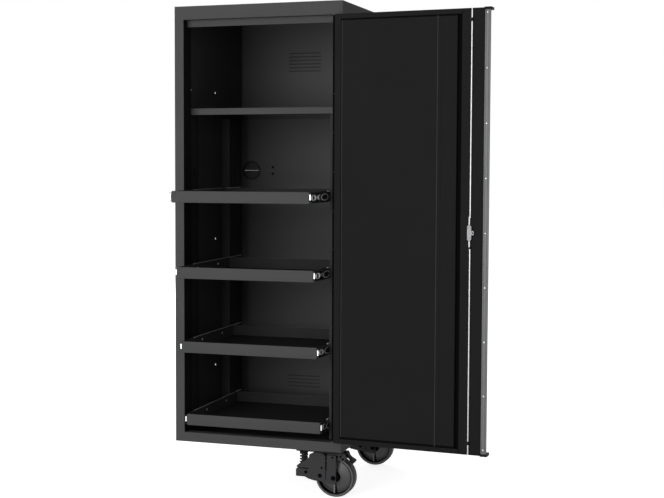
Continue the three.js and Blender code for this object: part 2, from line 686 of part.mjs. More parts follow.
function casterArm(name, y) {
  const outline = [
    [NOSE_LEFT, NOSE_TOP],
    [LEG_LEFT, NOSE_TOP],
    [LEG_LEFT, LEG_TOP],
    [LEG_RIGHT, LEG_TOP],
    [LEG_RIGHT, AXLE_Z - 2 * AXLE_RADIUS],
    [AXLE_X + AXLE_RADIUS, AXLE_Z - 3 * AXLE_RADIUS],
    [AXLE_X - AXLE_RADIUS, AXLE_Z - 3 * AXLE_RADIUS],
    [PIVOT_X - PIVOT_RADIUS, PIVOT_Z - 3 * PIVOT_RADIUS],
    [NOSE_RIGHT + 3 * PIVOT_RADIUS, NOSE_BOTTOM - PIVOT_RADIUS],
    [NOSE_RIGHT, NOSE_BOTTOM],
    [NOSE_LEFT, NOSE_BOTTOM],
  ];
  const plates = [y - ARM_OUTER, y + ARM_INNER].map((edge) => plateY(outline, edge, edge + ARM_PLATE));
  const pads = [[-YOKE_HALF, -ARM_OUTER], [ARM_OUTER, YOKE_HALF]].map(([near, far]) => box(
    LEG_LEFT + PAD_INSET, LEG_RIGHT, y + near, y + far, AXLE_Z - 2 * AXLE_RADIUS, LEG_TOP,
  ));
  const nose = box(NOSE_LEFT, NOSE_RIGHT, y - ARM_OUTER, y + ARM_OUTER, NOSE_BOTTOM, NOSE_TOP);
  const axle = rodY(AXLE_X, y - YOKE_HALF, y + YOKE_HALF, AXLE_Z, AXLE_RADIUS);
  const bolt = rodZ(SPRING_X, y, NOSE_BOTTOM, SPRING_TOP + PULL_NUT_THICK, PULL_BOLT_RADIUS, PIN_SIDES);
  const nut = rodZ(SPRING_X, y, SPRING_TOP, SPRING_TOP + PULL_NUT_THICK, PULL_NUT_RADIUS, PIN_SIDES);
  const bore = rodY(PIVOT_X, y - 2 * YOKE_HALF, y + 2 * YOKE_HALF, PIVOT_Z, PIVOT_RADIUS + AXLE_CLEAR);
  return piece(name, cut(join(...plates, ...pads, nose, axle, bolt, nut), bore), casterGrey);
}

// The wheel's section, from the bore out to the tread and back, is the same on both faces
function casterWheel(name, y) {
  const half = WHEEL_WIDTH / 2;
  const bore = AXLE_RADIUS + AXLE_CLEAR;
  const hub = ARM_INNER - ARM_GAP;
  const face = [
    [bore, hub], [HUB_RADIUS, hub], [HUB_RADIUS, WEB_WIDTH / 2], [RIM_RADIUS, WEB_WIDTH / 2],
    [RIM_RADIUS, half], [WHEEL_RADIUS - TREAD_CHAMFER, half], [WHEEL_RADIUS, half - TREAD_CHAMFER],
  ];
  const far = face.map(([radius, height]) => [radius, -height]);
  const profile = [...far, ...face.reverse(), far[0]].map(([r, h]) => new THREE.Vector2(r, h));
  const geometry = new THREE.LatheGeometry(profile, DISC_SIDES);
  geometry.translate(AXLE_X, y, AXLE_Z);
  return piece(name, toSolid(geometry), rubber);
}

// The least clear space between curls, measured over pairs of points at least half a turn apart
function leastGap(points) {
  const apart = COIL_STEPS / 2;
  const gaps = points.flatMap((point, i) => points.slice(i + apart).map(
    (other) => point.distanceTo(other) - SPRING_WIRE,
  ));
  return Math.min(...gaps);
}

// One unbroken coil whose ends run straight for one wire diameter
function casterSpring(name, y) {
  const bottom = SEAT_TOP + SPRING_CLEAR + SPRING_WIRE / 2;
  const top = SPRING_TOP - SPRING_CLEAR - SPRING_WIRE / 2;
  const steps = SPRING_TURNS * COIL_STEPS;
  const points = Array.from({ length: steps + 1 }, (_, i) => {
    const angle = (2 * Math.PI * i) / COIL_STEPS;
    return new THREE.Vector3(
      SPRING_X + SPRING_RADIUS * Math.cos(angle), y + SPRING_RADIUS * Math.sin(angle),
      bottom + ((top - bottom) * i) / steps,
    );
  });
  const lead = new THREE.Vector3(0, -SPRING_WIRE, 0).add(points[0]);
  const tail = new THREE.Vector3(0, SPRING_WIRE, 0).add(points[steps]);
  const path = new THREE.CurvePath();
  const route = [lead, ...points, tail];
  route.slice(1).forEach((point, i) => path.add(new THREE.LineCurve3(route[i], point)));
  const ring = new THREE.Shape(Array.from({ length: COIL_SIDES }, (_, i) => {
    const angle = (2 * Math.PI * i) / COIL_SIDES;
    return new THREE.Vector2(Math.cos(angle), Math.sin(angle)).multiplyScalar(SPRING_WIRE / 2);
  }));
  const geometry = new THREE.ExtrudeGeometry(ring, {
    steps: route.length - 1, extrudePath: path, bevelEnabled: false,
  });
  console.log(`${name} least gap to itself ${leastGap(points).toFixed(2)} mm`);
  return piece(name, toSolid(geometry), casterGrey);
}

function brakePedal(name, y) {
  const outline = [
    [PEDAL_HINGE_X - PIVOT_RADIUS + ARM_GAP, PEDAL_HINGE_Z - PIVOT_RADIUS],
    [PEDAL_HINGE_X - PIVOT_RADIUS + ARM_GAP, CROWN_TOP],
    [PEDAL_HINGE_X + 2 * PIVOT_RADIUS, CROWN_TOP],
    [PEDAL_HINGE_X + 8 * PIVOT_RADIUS, CROWN_TOP - 5 * PIVOT_RADIUS],
    [PEDAL_HINGE_X + 7 * PIVOT_RADIUS, CROWN_TOP - 7 * PIVOT_RADIUS],
    [PEDAL_HINGE_X + PIVOT_RADIUS, PEDAL_HINGE_Z - PIVOT_RADIUS],
  ];
  return piece(name, plateY(outline, y - PEDAL_WIDTH / 2, y + PEDAL_WIDTH / 2), plastic);
}

function caster(place, y, pedal) {
  const pieces = [
    casterPlate(`${place}_caster_plate`, y),
    casterYoke(`${place}_caster_yoke`, y, pedal),
    casterArm(`${place}_caster_arm`, y),
    casterWheel(`${place}_caster_wheel`, y),
    casterSpring(`${place}_caster_spring`, y),
  ];
  if (pedal) pieces.push(brakePedal(`${place}_caster_brake`, y));
  return group(`${place}_caster`, ...pieces);
}

// Assembly
function cabinet() {
  const leftWall = SHEET;
  const rightWall = WIDTH - SHEET;
  return group(
    'cabinet',
    leftSidePanel(), rightSidePanel(), backPanel(), topPanel(), basePan(), faceFrame(), fixedShelf(),
    slottedPost('front_left_post', OPEN_LEFT, leftWall, SLIDE_START),
    slottedPost('rear_left_post', OPEN_LEFT, leftWall, REAR_POST_START),
    slottedPost('front_right_post', RIGHT_POST_X, rightWall, SLIDE_START),
    slottedPost('rear_right_post', RIGHT_POST_X, rightWall, REAR_POST_START),
  );
}

function hinge() {
  const node = group('hinge', hingeLeaf('hinge_frame_leaf', 0, 1, 0), hingePin());
  node.position.set(HINGE_X, -HINGE_PROUD, 0);
  return node;
}

function door() {
  const node = group(
    'door',
    hingeLeaf('hinge_door_leaf', 1, -1, LEAF_CLEAR), doorPan(), doorInnerPanel(), pullHandle(),
    latchHousing(), lockSpindle(),
    latchRod('upper_latch_rod', 1, DOOR_TOP), latchRod('lower_latch_rod', -1, DOOR_BOTTOM),
  );
  node.position.set(HINGE_X, -HINGE_PROUD, 0);
  node.rotation.z = -THREE.MathUtils.degToRad(DOOR_OPEN_SHORT);
  return node;
}

const trays = Array.from({ length: TRAY_COUNT }, (_, i) => tray(i + 1));
const locker = group(
  'tool_chest_side_locker',
  cabinet(), hinge(), door(), ...trays,
  caster('front', CASTER_INSET, true), caster('rear', DEPTH - REAR_CASTER_INSET, false),
);
locker.position.set(0, -DEPTH / 2, -HEIGHT / 2);

export default locker;
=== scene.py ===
"""Looks of a tool chest's side locker: a tall sheet-steel cabinet with a wide-open door, four roll-out
trays and two sprung casters. Shapes are drawn in millimetres in the part's own frame, with +Z up and
the front facing -Y, and turn to metres as they become pieces."""

import json
import logging
import math
from collections.abc import Callable, Sequence
from dataclasses import dataclass
from enum import Enum

import bmesh
import bpy
import numpy as np
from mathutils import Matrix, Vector


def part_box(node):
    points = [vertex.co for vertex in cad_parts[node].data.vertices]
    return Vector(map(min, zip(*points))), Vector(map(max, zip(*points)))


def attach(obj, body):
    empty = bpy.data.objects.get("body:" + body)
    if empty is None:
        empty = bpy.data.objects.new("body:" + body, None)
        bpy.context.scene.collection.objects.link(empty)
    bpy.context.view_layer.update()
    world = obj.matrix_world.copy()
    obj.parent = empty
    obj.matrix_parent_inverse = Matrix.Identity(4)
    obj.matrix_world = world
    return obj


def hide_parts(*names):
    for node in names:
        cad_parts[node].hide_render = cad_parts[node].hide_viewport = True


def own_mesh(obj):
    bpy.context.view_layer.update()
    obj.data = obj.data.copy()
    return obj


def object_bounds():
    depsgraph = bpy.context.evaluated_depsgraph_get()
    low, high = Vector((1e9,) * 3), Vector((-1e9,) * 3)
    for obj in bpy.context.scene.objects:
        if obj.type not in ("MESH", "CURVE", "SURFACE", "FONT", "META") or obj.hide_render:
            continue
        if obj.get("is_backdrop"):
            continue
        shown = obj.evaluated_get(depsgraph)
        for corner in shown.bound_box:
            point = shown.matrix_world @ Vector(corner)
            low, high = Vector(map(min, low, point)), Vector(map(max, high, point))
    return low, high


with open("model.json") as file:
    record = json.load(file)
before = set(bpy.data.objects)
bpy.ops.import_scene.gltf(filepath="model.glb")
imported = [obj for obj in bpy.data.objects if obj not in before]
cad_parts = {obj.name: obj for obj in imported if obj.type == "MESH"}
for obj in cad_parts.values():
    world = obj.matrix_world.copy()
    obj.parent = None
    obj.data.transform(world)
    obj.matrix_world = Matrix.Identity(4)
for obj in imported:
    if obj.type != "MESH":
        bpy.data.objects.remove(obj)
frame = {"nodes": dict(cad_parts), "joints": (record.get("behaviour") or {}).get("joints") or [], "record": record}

LOG = logging.getLogger("side_locker")
MM = 0.001
IMAGE_WIDTH = 664
IMAGE_HEIGHT = 498
TRAY_NUMBERS = range(1, 5)
SENSES = (-1, 1)
FULL_TURN = 2 * math.pi
WELD_DISTANCE = 1e-6
SMOOTH_ANGLE = math.radians(32)
BEVEL_ANGLE = math.radians(40)
BEVEL_STEPS = 2
FACING = 0.9
X, Y, Z = range(3)

Array = np.ndarray
Colour = tuple[float, float, float]
Lengths = Sequence[float]
Points = Sequence[Sequence[float]]
Socket = bpy.types.NodeSocket


class Side(Enum):
    """The side of the cabinet that a slide runs on, with the sense of +X towards its wall."""

    LEFT = -1
    RIGHT = 1

    @property
    def word(self) -> str:
        """The side's word in the node names."""
        return self.name.lower()


class Place(Enum):
    """Which of the two casters."""

    FRONT = "front"
    REAR = "rear"


class Plane(Enum):
    """The plane that an outline is drawn in, as the axes of its two values and of its extrusion."""

    XY = (X, Y, Z)
    XZ = (X, Z, Y)
    YZ = (Y, Z, X)


# Surfaces


@dataclass
class Surface:
    """Points and faces of a shape, before it becomes a piece."""

    points: Array
    faces: list[tuple[int, ...]]

    def placed(self, place: Callable[[Array], Array]) -> "Surface":
        """The same shape with its points carried by a function."""
        return Surface(place(self.points), self.faces)

    def moved(self, offset: Lengths) -> "Surface":
        """The same shape, moved."""
        return Surface(self.points + np.asarray(offset, float), self.faces)


def merged(*surfaces: Surface) -> Surface:
    """Several shapes as one, with the face indices moved on by the points before them.

    Args:
        surfaces: The shapes.

    Returns:
        The one shape.
    """
    starts = np.cumsum([0] + [len(s.points) for s in surfaces])
    faces = [tuple(i + start for i in face) for s, start in zip(surfaces, starts) for face in s.faces]
    return Surface(np.concatenate([s.points for s in surfaces]), faces)


def grid(points: Array, close_rows: bool = False, close_columns: bool = False) -> Surface:
    """Quads over a grid of points, each joining four neighbours.

    Args:
        points: Rows by columns by three.
        close_rows: Whether the last row joins the first.
        close_columns: Whether the last column joins the first.

    Returns:
        The surface.
    """
    rows, columns = points.shape[:2]
    i = np.arange(rows if close_rows else rows - 1)[:, None]
    j = np.arange(columns if close_columns else columns - 1)[None, :]
    down, across = (i + 1) % rows, (j + 1) % columns
    around = [i * columns + j, i * columns + across, down * columns + across, down * columns + j]
    quads = np.stack(np.broadcast_arrays(*around), axis=-1).reshape(-1, 4)
    return Surface(points.reshape(-1, 3), [tuple(q) for q in quads.tolist()])


def tube(rings: Array) -> Surface:
    """A skin over a row of closed rings, with a flat face on the first and the last.

    Args:
        rings: Rings by points by three.

    Returns:
        The closed surface.
    """
    skin = grid(rings, close_columns=True)
    count, around = rings.shape[:2]
    first = tuple(range(around - 1, -1, -1))
    last = tuple(range((count - 1) * around, count * around))
    return Surface(skin.points, skin.faces + [first, last])


def extrude(outline: Points, start: float, end: float, plane: Plane) -> Surface:
    """An outline carried straight from one level to another.

    Args:
        outline: Points by two, in the plane's own order.
        start: The first level on the plane's third axis.
        end: The last level.
        plane: The plane of the outline.

    Returns:
        The closed surface.
    """
    a, b, c = plane.value
    rings = np.zeros((2, len(outline), 3))
    rings[:, :, [a, b]] = np.asarray(outline)
    rings[:, :, c] = [[start], [end]]
    return tube(rings)


def lathe(profile: Points, sides: int, axis: int, centre: Lengths, closed: bool = False) -> Surface:
    """A profile of radius and height turned about an axis: each point runs round a circle.

    Args:
        profile: Points by two, radius and height.
        sides: Steps round the axis.
        axis: X, Y or Z.
        centre: The point of height 0 on the axis.
        closed: Whether the profile closes on itself; otherwise it starts and ends on the axis.

    Returns:
        The surface.
    """
    radius, height = np.asarray(profile, float).T
    points = np.zeros((sides, len(radius), 3))
    points[:, :, [(axis + 1) % 3, (axis + 2) % 3]] = radius[None, :, None] * arc(sides)[:, None]
    points[:, :, axis] = height
    return grid(points + np.asarray(centre), close_rows=True, close_columns=closed)


def arc(count: int, end: float = FULL_TURN) -> Array:
    """Points of the unit circle from angle 0 to an end, which a full turn leaves out."""
    angle = np.linspace(0, end, count, endpoint=end < FULL_TURN)
    return np.stack([np.cos(angle), np.sin(angle)], axis=1)


def filleted(path: Points, radius: float, closed: bool = True, steps: int = 5) -> Array:
    """A polygon or a line with each corner turned into an arc, by turning the start radius of each arc
    into its end radius.

    Args:
        path: Points by two.
        radius: The arcs' radius, cut down where an edge is too short for it.
        closed: Whether the last corner joins the first; otherwise both ends stay as they are.
        steps: Steps in each arc.

    Returns:
        The rounded outline.
    """
    straight, share_of_edge, tiny = 0.9999, 0.48, 1e-9
    corner = np.asarray(path, float)
    back, on = np.roll(corner, 1, axis=0) - corner, np.roll(corner, -1, axis=0) - corner
    lengths = np.linalg.norm(back, axis=1), np.linalg.norm(on, axis=1)
    back, on = back / lengths[0][:, None], on / lengths[1][:, None]
    half = np.arccos(np.clip((back * on).sum(axis=1), -straight, straight)) / 2
    reach = np.minimum(radius / np.tan(half), share_of_edge * np.minimum(*lengths))
    middle = back + on
    middle = middle / np.maximum(np.linalg.norm(middle, axis=1), tiny)[:, None]
    centre = corner + middle * (reach * np.tan(half) / np.sin(half))[:, None]
    start = corner + back * reach[:, None] - centre
    end = corner + on * reach[:, None] - centre
    sweep = (np.pi - 2 * half)[:, None, None]
    share = np.linspace(0, 1, steps + 1)[None, :, None]
    turned = np.sin((1 - share) * sweep) * start[:, None] + np.sin(share * sweep) * end[:, None]
    points = centre[:, None] + turned / np.sin(sweep)
    if closed:
        return points.reshape(-1, 2)
    return np.concatenate([corner[:1], points[1:-1].reshape(-1, 2), corner[-1:]])


def folded(line: Points, thickness: float, radius: float) -> Array:
    """The section of a bent sheet: a line with rounded bends, thickened to both sides along its normals.

    Args:
        line: The corners of the sheet's middle line.
        thickness: The sheet's thickness.
        radius: The bends' radius on the middle line.

    Returns:
        The closed outline.
    """
    middle = filleted(line, radius, closed=False)
    run = np.gradient(middle, axis=0)
    normal = np.stack([-run[:, 1], run[:, 0]], axis=1)
    normal = normal / np.linalg.norm(normal, axis=1)[:, None] * thickness / 2
    return np.concatenate([middle + normal, (middle - normal)[::-1]])


def rectangle(low: Lengths, high: Lengths) -> list[tuple[float, float]]:
    """The four corners of a box's outline, from its two opposite ones."""
    return [(low[0], low[1]), (high[0], low[1]), (high[0], high[1]), (low[0], high[1])]


def block(first: Lengths, second: Lengths, span: Lengths, plane: Plane, radius: float = 0.0) -> Surface:
    """A rectangle from two opposite corners, rounded by a radius if any, carried over a span of levels."""
    outline = rectangle(*np.sort([first, second], axis=0))
    return extrude(filleted(outline, radius) if radius else outline, *span, plane)


def rod(radius: float, start: float, end: float, sides: int, axis: int, centre: Lengths) -> Surface:
    """A round bar along an axis, between two heights."""
    return lathe([(0, start), (radius, start), (radius, end), (0, end)], sides, axis, centre)


def sleeve(inner: float, outer: float, start: float, end: float, sides: int, centre: Lengths) -> Surface:
    """A round pipe along Z, between two heights."""
    section = [(inner, start), (outer, start), (outer, end), (inner, end)]
    return lathe(section, sides, Z, centre, True)


def pan(low: Array, high: Array, wall: float, bend: float, hem: float) -> Surface:
    """An open pan: rounded rectangles run from the middle of the floor up the inside, over a rolled rim and
    down the outside to the middle of the underside.

    Args:
        low: The lowest corner of its box.
        high: The highest corner.
        wall: The sheet's thickness.
        bend: The radius of the folds and the corners.
        hem: The height of the rolled rim.

    Returns:
        The closed surface.
    """
    bottom, top, rim_steps = low[2], high[2], 7
    floor, edge = bottom + wall, top - hem
    inside = filleted([(wall + 2 * bend, floor), (wall, floor), (wall, edge)], bend, False)
    rim = [wall / 2, edge] + [wall / 2, hem] * arc(rim_steps, np.pi)
    outside = filleted([(0, edge), (0, bottom), (2 * bend, bottom)], bend, False)
    profile = np.concatenate([inside, rim[1:-1], outside])
    sign = np.sign(filleted(rectangle((-1, -1), (1, 1)), WELD_DISTANCE))
    corner = filleted(rectangle(low, high), bend)
    rings = np.zeros((len(profile), len(corner), 3))
    rings[:, :, :2] = corner[None] - sign[None] * profile[:, :1, None]
    rings[:, :, 2] = profile[:, 1:]
    return tube(rings)


def hexagon(centre: Lengths, width: float) -> Array:
    """The outline of a bolt head with softened corners, from its width across flats."""
    return filleted(np.asarray(centre) + width / math.sqrt(3) * arc(6), 0.8, steps=2)


def dome(radius: float, height: float) -> Array:
    """The profile of a rivet's head: a flat foot and a quarter of an ellipse."""
    return np.concatenate([[(0, 0)], [radius, height] * arc(7, np.pi / 2)])


# Finishes


class Nodes:
    """A tree of shader nodes."""

    def __init__(self, tree: bpy.types.NodeTree) -> None:
        """Takes up a tree."""
        self.tree = tree

    def fill(self, node: bpy.types.Node, values: dict[str | int, object]) -> None:
        """Fills inputs of a node, by a link where the value is another node's output.

        Args:
            node: The node.
            values: Outputs or constants by the inputs' names.
        """
        for key, value in values.items():
            if isinstance(value, Socket):
                self.tree.links.new(value, node.inputs[key])
            else:
                node.inputs[key].default_value = value

    def add(self, kind: str, values: dict[str | int, object], **settings: object) -> bpy.types.NodeOutputs:
        """Adds a node.

        Args:
            kind: The end of Blender's name for the node.
            values: What fills its inputs.
            settings: Properties of the node.

        Returns:
            The node's outputs.
        """
        node = self.tree.nodes.new("ShaderNode" + kind)
        for key, value in settings.items():
            setattr(node, key, value)
        self.fill(node, values)
        return node.outputs

    def ranged(self, value: Socket, low: float, high: float, start: float = 0.3, end: float = 0.7) -> Socket:
        """A value spread evenly, so that it is low where it was start and high where it was end."""
        limits = {"From Min": start, "From Max": end, "To Min": low, "To Max": high}
        return self.add("MapRange", {"Value": value, **limits})["Result"]

    def seen(self, hidden: float, shown: float) -> Socket:
        """One value for rays that show a surface, from the camera, off gloss and through glass, and another
        for rays that only carry its light.

        Args:
            hidden: The value for rays that only carry light.
            shown: The value for the others.

        Returns:
            The value.
        """
        rays = self.add("LightPath", {})
        result = rays["Is Camera Ray"]
        for kind in ("Is Glossy Ray", "Is Transmission Ray"):
            result = self.add("Math", {0: result, 1: rays[kind]}, operation="MAXIMUM")[0]
        return self.ranged(result, hidden, shown, 0.0, 1.0)


class Shader(Nodes):
    """A material's nodes, built back from its shader to the piece's own Object coordinates."""

    def __init__(self, name: str) -> None:
        """Makes the material with one Principled shader.

        Args:
            name: The material's name.
        """
        self.material = bpy.data.materials.new(name)
        self.material.use_nodes = True
        super().__init__(self.material.node_tree)
        self.surface = self.tree.nodes["Principled BSDF"]
        self.place = self.add("TexCoord", {})["Object"]

    def set(self, **values: object) -> None:
        """Fills the shader's own inputs, with _ for the spaces in their names."""
        self.fill(self.surface, {key.replace("_", " "): value for key, value in values.items()})

    def noise(self, size: float, detail: float = 3, stretch: Lengths = (1, 1, 1)) -> Socket:
        """Noise of a given grain size in metres, drawn out along an axis where stretch is above 1."""
        place = self.add("Mapping", {"Vector": self.place, "Scale": [1 / s for s in stretch]})["Vector"]
        return self.add("TexNoise", {"Vector": place, "Scale": 1 / size, "Detail": detail})["Fac"]

    def between(self, share: Socket, first: Colour, second: Colour) -> Socket:
        """A colour that goes from one to another with a value."""
        values = {"Factor": share, "A": (*first, 1), "B": (*second, 1)}
        return self.add("Mix", values, data_type="RGBA")["Result"]

    def relief(self, height: Socket, depth: float, strength: float) -> None:
        """Bumps the surface by a height of the given depth in metres."""
        values = {"Height": height, "Distance": depth, "Strength": strength}
        self.set(Normal=self.add("Bump", values)["Normal"])


@dataclass(frozen=True)
class Finish:
    """A surface finish: its name, its slot in the record, its colour, its gloss and its relief."""

    name: str
    slot: str
    colour: Colour
    roughness: tuple[float, float] = (0.5, 0.6)
    grain: float = 1.1 * MM
    depth: float = 0.04 * MM
    mottle: float = 0.04
    drift_grains: float = 180
    gloss_grains: float = 3

    def dress(self, shader: Shader) -> None:
        """What sets this finish apart from the others."""
        raise NotImplementedError

    def material(self) -> bpy.types.Material:
        """The finish as a material, made once: its colour drifts softly over a piece, and its gloss varies
        with a finer grain.

        Returns:
            The material.
        """
        name = self.name + "_finish"
        if name in bpy.data.materials:
            return bpy.data.materials[name]
        shader = Shader(name)
        drift = shader.ranged(shader.noise(self.drift_grains * self.grain), 0, 1)
        gloss = shader.ranged(shader.noise(self.gloss_grains * self.grain), *self.roughness)
        pair = (tuple(c * factor for c in self.colour) for factor in (1 - self.mottle, 1 + self.mottle))
        shader.set(Base_Color=shader.between(drift, *pair), Roughness=gloss)
        self.dress(shader)
        return shader.material


@dataclass(frozen=True)
class PowderCoat(Finish):
    """Baked powder on steel: a fine orange-peel relief and a satin gloss."""

    specular: float = 0.08
    strength: float = 0.35

    def dress(self, shader: Shader) -> None:
        """Adds the orange peel."""
        shader.set(Specular_IOR_Level=self.specular)
        shader.relief(shader.noise(self.grain, 2), self.depth, self.strength)


@dataclass(frozen=True)
class RolledSteel(Finish):
    """Bare, plated or passivated metal with the lines that rolling leaves along it."""

    grain: float = 0.5 * MM
    metallic: float = 1.0
    along: Lengths = (1, 60, 1)
    strength: float = 0.3

    def dress(self, shader: Shader) -> None:
        """Adds the rolling lines."""
        shader.set(Metallic=self.metallic)
        shader.relief(shader.noise(self.grain, 4, self.along), self.depth, self.strength)


@dataclass(frozen=True)
class Moulded(Finish):
    """Moulded plastic or rubber with a soft leathery texture."""

    specular: float = 0.4
    strength: float = 0.4

    def dress(self, shader: Shader) -> None:
        """Adds cells of texture.

        Args:
            shader: The nodes to add to.
        """
        cells = shader.add("TexVoronoi", {"Vector": shader.place, "Scale": 1 / self.grain})
        shader.set(Specular_IOR_Level=self.specular)
        shader.relief(cells["Distance"], self.depth, self.strength)


def grey(level: float, blue: float) -> Colour:
    """A grey with its own level of blue."""
    return level, level, blue


FINISHES: dict[str, Finish] = {
    finish.name: finish
    for finish in (
        PowderCoat("frame_grey", "frame_grey", grey(0.061, 0.063), (0.52, 0.6)),
        PowderCoat("panel_black", "panel_black", grey(0.0118, 0.0124), (0.55, 0.65), specular=0.03),
        # Lighter strips that paint the highlights along the door panel's bends.
        PowderCoat("panel_seam", "panel_black", grey(0.06, 0.061)),
        # A lighter copy of the frame grey: the same paint inside the cabinet, lightened to paint in light that the
        # inside lacks.
        PowderCoat("interior_grey", "interior_grey", grey(0.084, 0.086), (0.52, 0.6)),
        # Darker copies of the greys that paint shade: on the rear posts, the front-left post, inside the louvre
        # hoods, and on the trays' floors and rear walls, the right posts and the right side panel.
        PowderCoat("post_dark", "interior_grey", grey(0.05, 0.051), (0.52, 0.6), specular=0.04),
        PowderCoat("post_shade", "interior_grey", grey(0.024, 0.025), (0.52, 0.6), specular=0.03),
        PowderCoat("hood_shade", "interior_grey", grey(0.06, 0.061), (0.6, 0.7), specular=0.03),
        PowderCoat("inner_shade", "frame_grey", grey(0.036, 0.037), (0.55, 0.65), specular=0.04),
        PowderCoat("caster_grey", "caster_grey", grey(0.038, 0.04), (0.45, 0.55), 1.6 * MM, 0.08 * MM),
        PowderCoat("caster_black", "caster_grey", grey(0.01, 0.0105), (0.5, 0.6), 1.6 * MM, 0.08 * MM),
        RolledSteel("slide_black", "slide_black", grey(0.02, 0.021), (0.3, 0.42), 0.6 * MM, metallic=0.7),
        RolledSteel("zinc", "zinc", (0.5, 0.505, 0.515), (0.28, 0.38), along=(1, 1, 20)),
        RolledSteel("rod_zinc", "zinc", (0.42, 0.425, 0.435), (0.3, 0.4), along=(1, 1, 20)),
        RolledSteel("strip_steel", "zinc", (0.28, 0.283, 0.29), (0.4, 0.5), metallic=0.8),
        RolledSteel("lock_steel", "zinc", (0.17, 0.172, 0.178), (0.45, 0.55), metallic=0.8),
        # A near-white, non-metallic finish that paints the glint of bare steel on slot rims, screw heads and slide
        # lips.
        RolledSteel("cage_bright", "zinc", grey(0.9, 0.9), (0.35, 0.45), metallic=0.0),
        RolledSteel("aluminium", "aluminium", (0.096, 0.097, 0.099), along=(1, 1, 80), metallic=0.8),
        Moulded("rubber", "rubber", grey(0.02, 0.021), (0.55, 0.7), 2.2 * MM, 0.1 * MM, specular=0.25),
        Moulded("wheel_core", "rubber", grey(0.026, 0.027), (0.34, 0.46), 1.8 * MM, specular=0.5),
        # A light grey that paints a highlight streak on the wheel's face.
        Moulded("mould_grey", "rubber", grey(0.15, 0.153), grain=1.8 * MM),
        # A lighter grey that paints the highlight along the tyre's edges.
        Moulded("rim_lip", "rubber", grey(0.085, 0.087), grain=1.8 * MM),
        # Near-black, for small dark parts and for the strips, bands and heads that paint shade and shadow.
        Moulded("gasket", "plastic", grey(0.0028, 0.003), (0.7, 0.8), 1.5 * MM, specular=0.02),
        Moulded("plastic", "plastic", grey(0.007, 0.0075), grain=1.2 * MM, specular=0.08),
        Moulded("grommet_ring", "plastic", grey(0.03, 0.031), grain=1.2 * MM, specular=0.1),
        Moulded("brush_nylon", "rubber", grey(0.06, 0.062), (0.6, 0.75), 1.2 * MM, specular=0.1),
    )
}

# The nodes whose finish is not that of their slot, by name or by the last two words of it; the posts' and the
# right side panel's darker finishes paint their shade
OTHER_FINISHES = {
    "caster_plate": "caster_black", "left_post": "post_dark", "front_left_post": "post_shade",
    "right_post": "inner_shade", "frame_leaf": "gasket", "door_leaf": "gasket",
    "right_side_panel": "inner_shade",
}


# Pieces


def mesh_of(name: str, shape: Surface) -> bpy.types.Mesh:
    """A shape as a mesh.

    Args:
        name: The mesh's name.
        shape: Its points and faces.

    Returns:
        The mesh.
    """
    mesh = bpy.data.meshes.new(name)
    mesh.from_pydata(shape.points.tolist(), [], shape.faces)
    return mesh


def linked(name: str, data: bpy.types.ID) -> bpy.types.Object:
    """An object of the scene that holds some data.

    Args:
        name: The object's name.
        data: Its mesh, lamp or camera.

    Returns:
        The object.
    """
    made = bpy.data.objects.new(name, data)
    bpy.context.scene.collection.objects.link(made)
    return made


class Assembly:
    """A sub-assembly that draws its shapes in a place of its own and makes them pieces of the part."""

    @property
    def prefix(self) -> str:
        """The first words of its pieces and nodes."""
        return ""

    def place(self, points: Array) -> Array:
        """Carries points from its own place to the part's frame."""
        return points

    def carrier(self, body: str) -> str:
        """The full name of a body that carries a piece."""
        return body

    def add(self, name: str, shapes: Surface | list[Surface], finish: str, body: str,
            nodes: Sequence[str] = (), bevel: float = 0.0, solid: float = 0.0) -> bpy.types.Object:
        """Makes shapes one object that moves with a body, with its doubles merged and its faces outwards.

        Args:
            name: The piece's name after the prefix.
            shapes: A shape or several, drawn in the sub-assembly's own place.
            finish: The name of its finish.
            body: The body that carries it.
            nodes: The nodes that it stands for, after the prefix.
            bevel: The width of its broken edges, or 0.
            solid: The thickness that an open sheet gets, or 0.

        Returns:
            The object.
        """
        shape = merged(*shapes) if isinstance(shapes, list) else shapes
        mesh = mesh_of(self.prefix + name, shape.placed(lambda points: MM * self.place(points)))
        work = bmesh.new()
        work.from_mesh(mesh)
        bmesh.ops.remove_doubles(work, verts=work.verts, dist=WELD_DISTANCE)
        bmesh.ops.recalc_face_normals(work, faces=work.faces)
        work.to_mesh(mesh)
        work.free()
        mesh.shade_smooth()
        mesh.set_sharp_from_angle(angle=SMOOTH_ANGLE)
        mesh.materials.append(FINISHES[finish].material())
        made = linked(self.prefix + name, mesh)
        if solid:
            made.modifiers.new("sheet", "SOLIDIFY").thickness = MM * solid
        if bevel:
            edge = made.modifiers.new("broken_edges", "BEVEL")
            edge.width = MM * bevel
            edge.segments = BEVEL_STEPS
            edge.limit_method = "ANGLE"
            edge.angle_limit = BEVEL_ANGLE
        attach(made, self.carrier(body))
        if nodes:
            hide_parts(*(self.prefix + node for node in nodes))
        LOG.info("%s: %d points on %s", made.name, len(mesh.vertices), self.carrier(body))
        return made


def corners(node: str) -> tuple[Array, Array]:
    """A node's lowest and highest corners in millimetres."""
    low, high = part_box(node)
    return np.array(low) / MM, np.array(high) / MM


def joint(name: str) -> dict:
    """A joint of the record by its name."""
    return next(j for j in frame["joints"] if j["name"] == name)


def foot_of(name: str) -> Array:
    """A joint's place in millimetres, at the level of the cabinet's underside."""
    return np.array([*joint(name)["pos_m"][:2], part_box("base_pan")[0][2]]) / MM


def dress_nodes() -> None:
    """Gives every solid of the frame the finish of its slot, or its own other one."""
    for part in frame["record"]["subparts"]:
        node = part["node"]
        tail = "_".join(node.split("_")[-2:])
        finish = OTHER_FINISHES.get(node) or OTHER_FINISHES.get(tail) or part["material_slot"]
        materials = frame["nodes"][node].data.materials
        materials.clear()
        materials.append(FINISHES[finish].material())


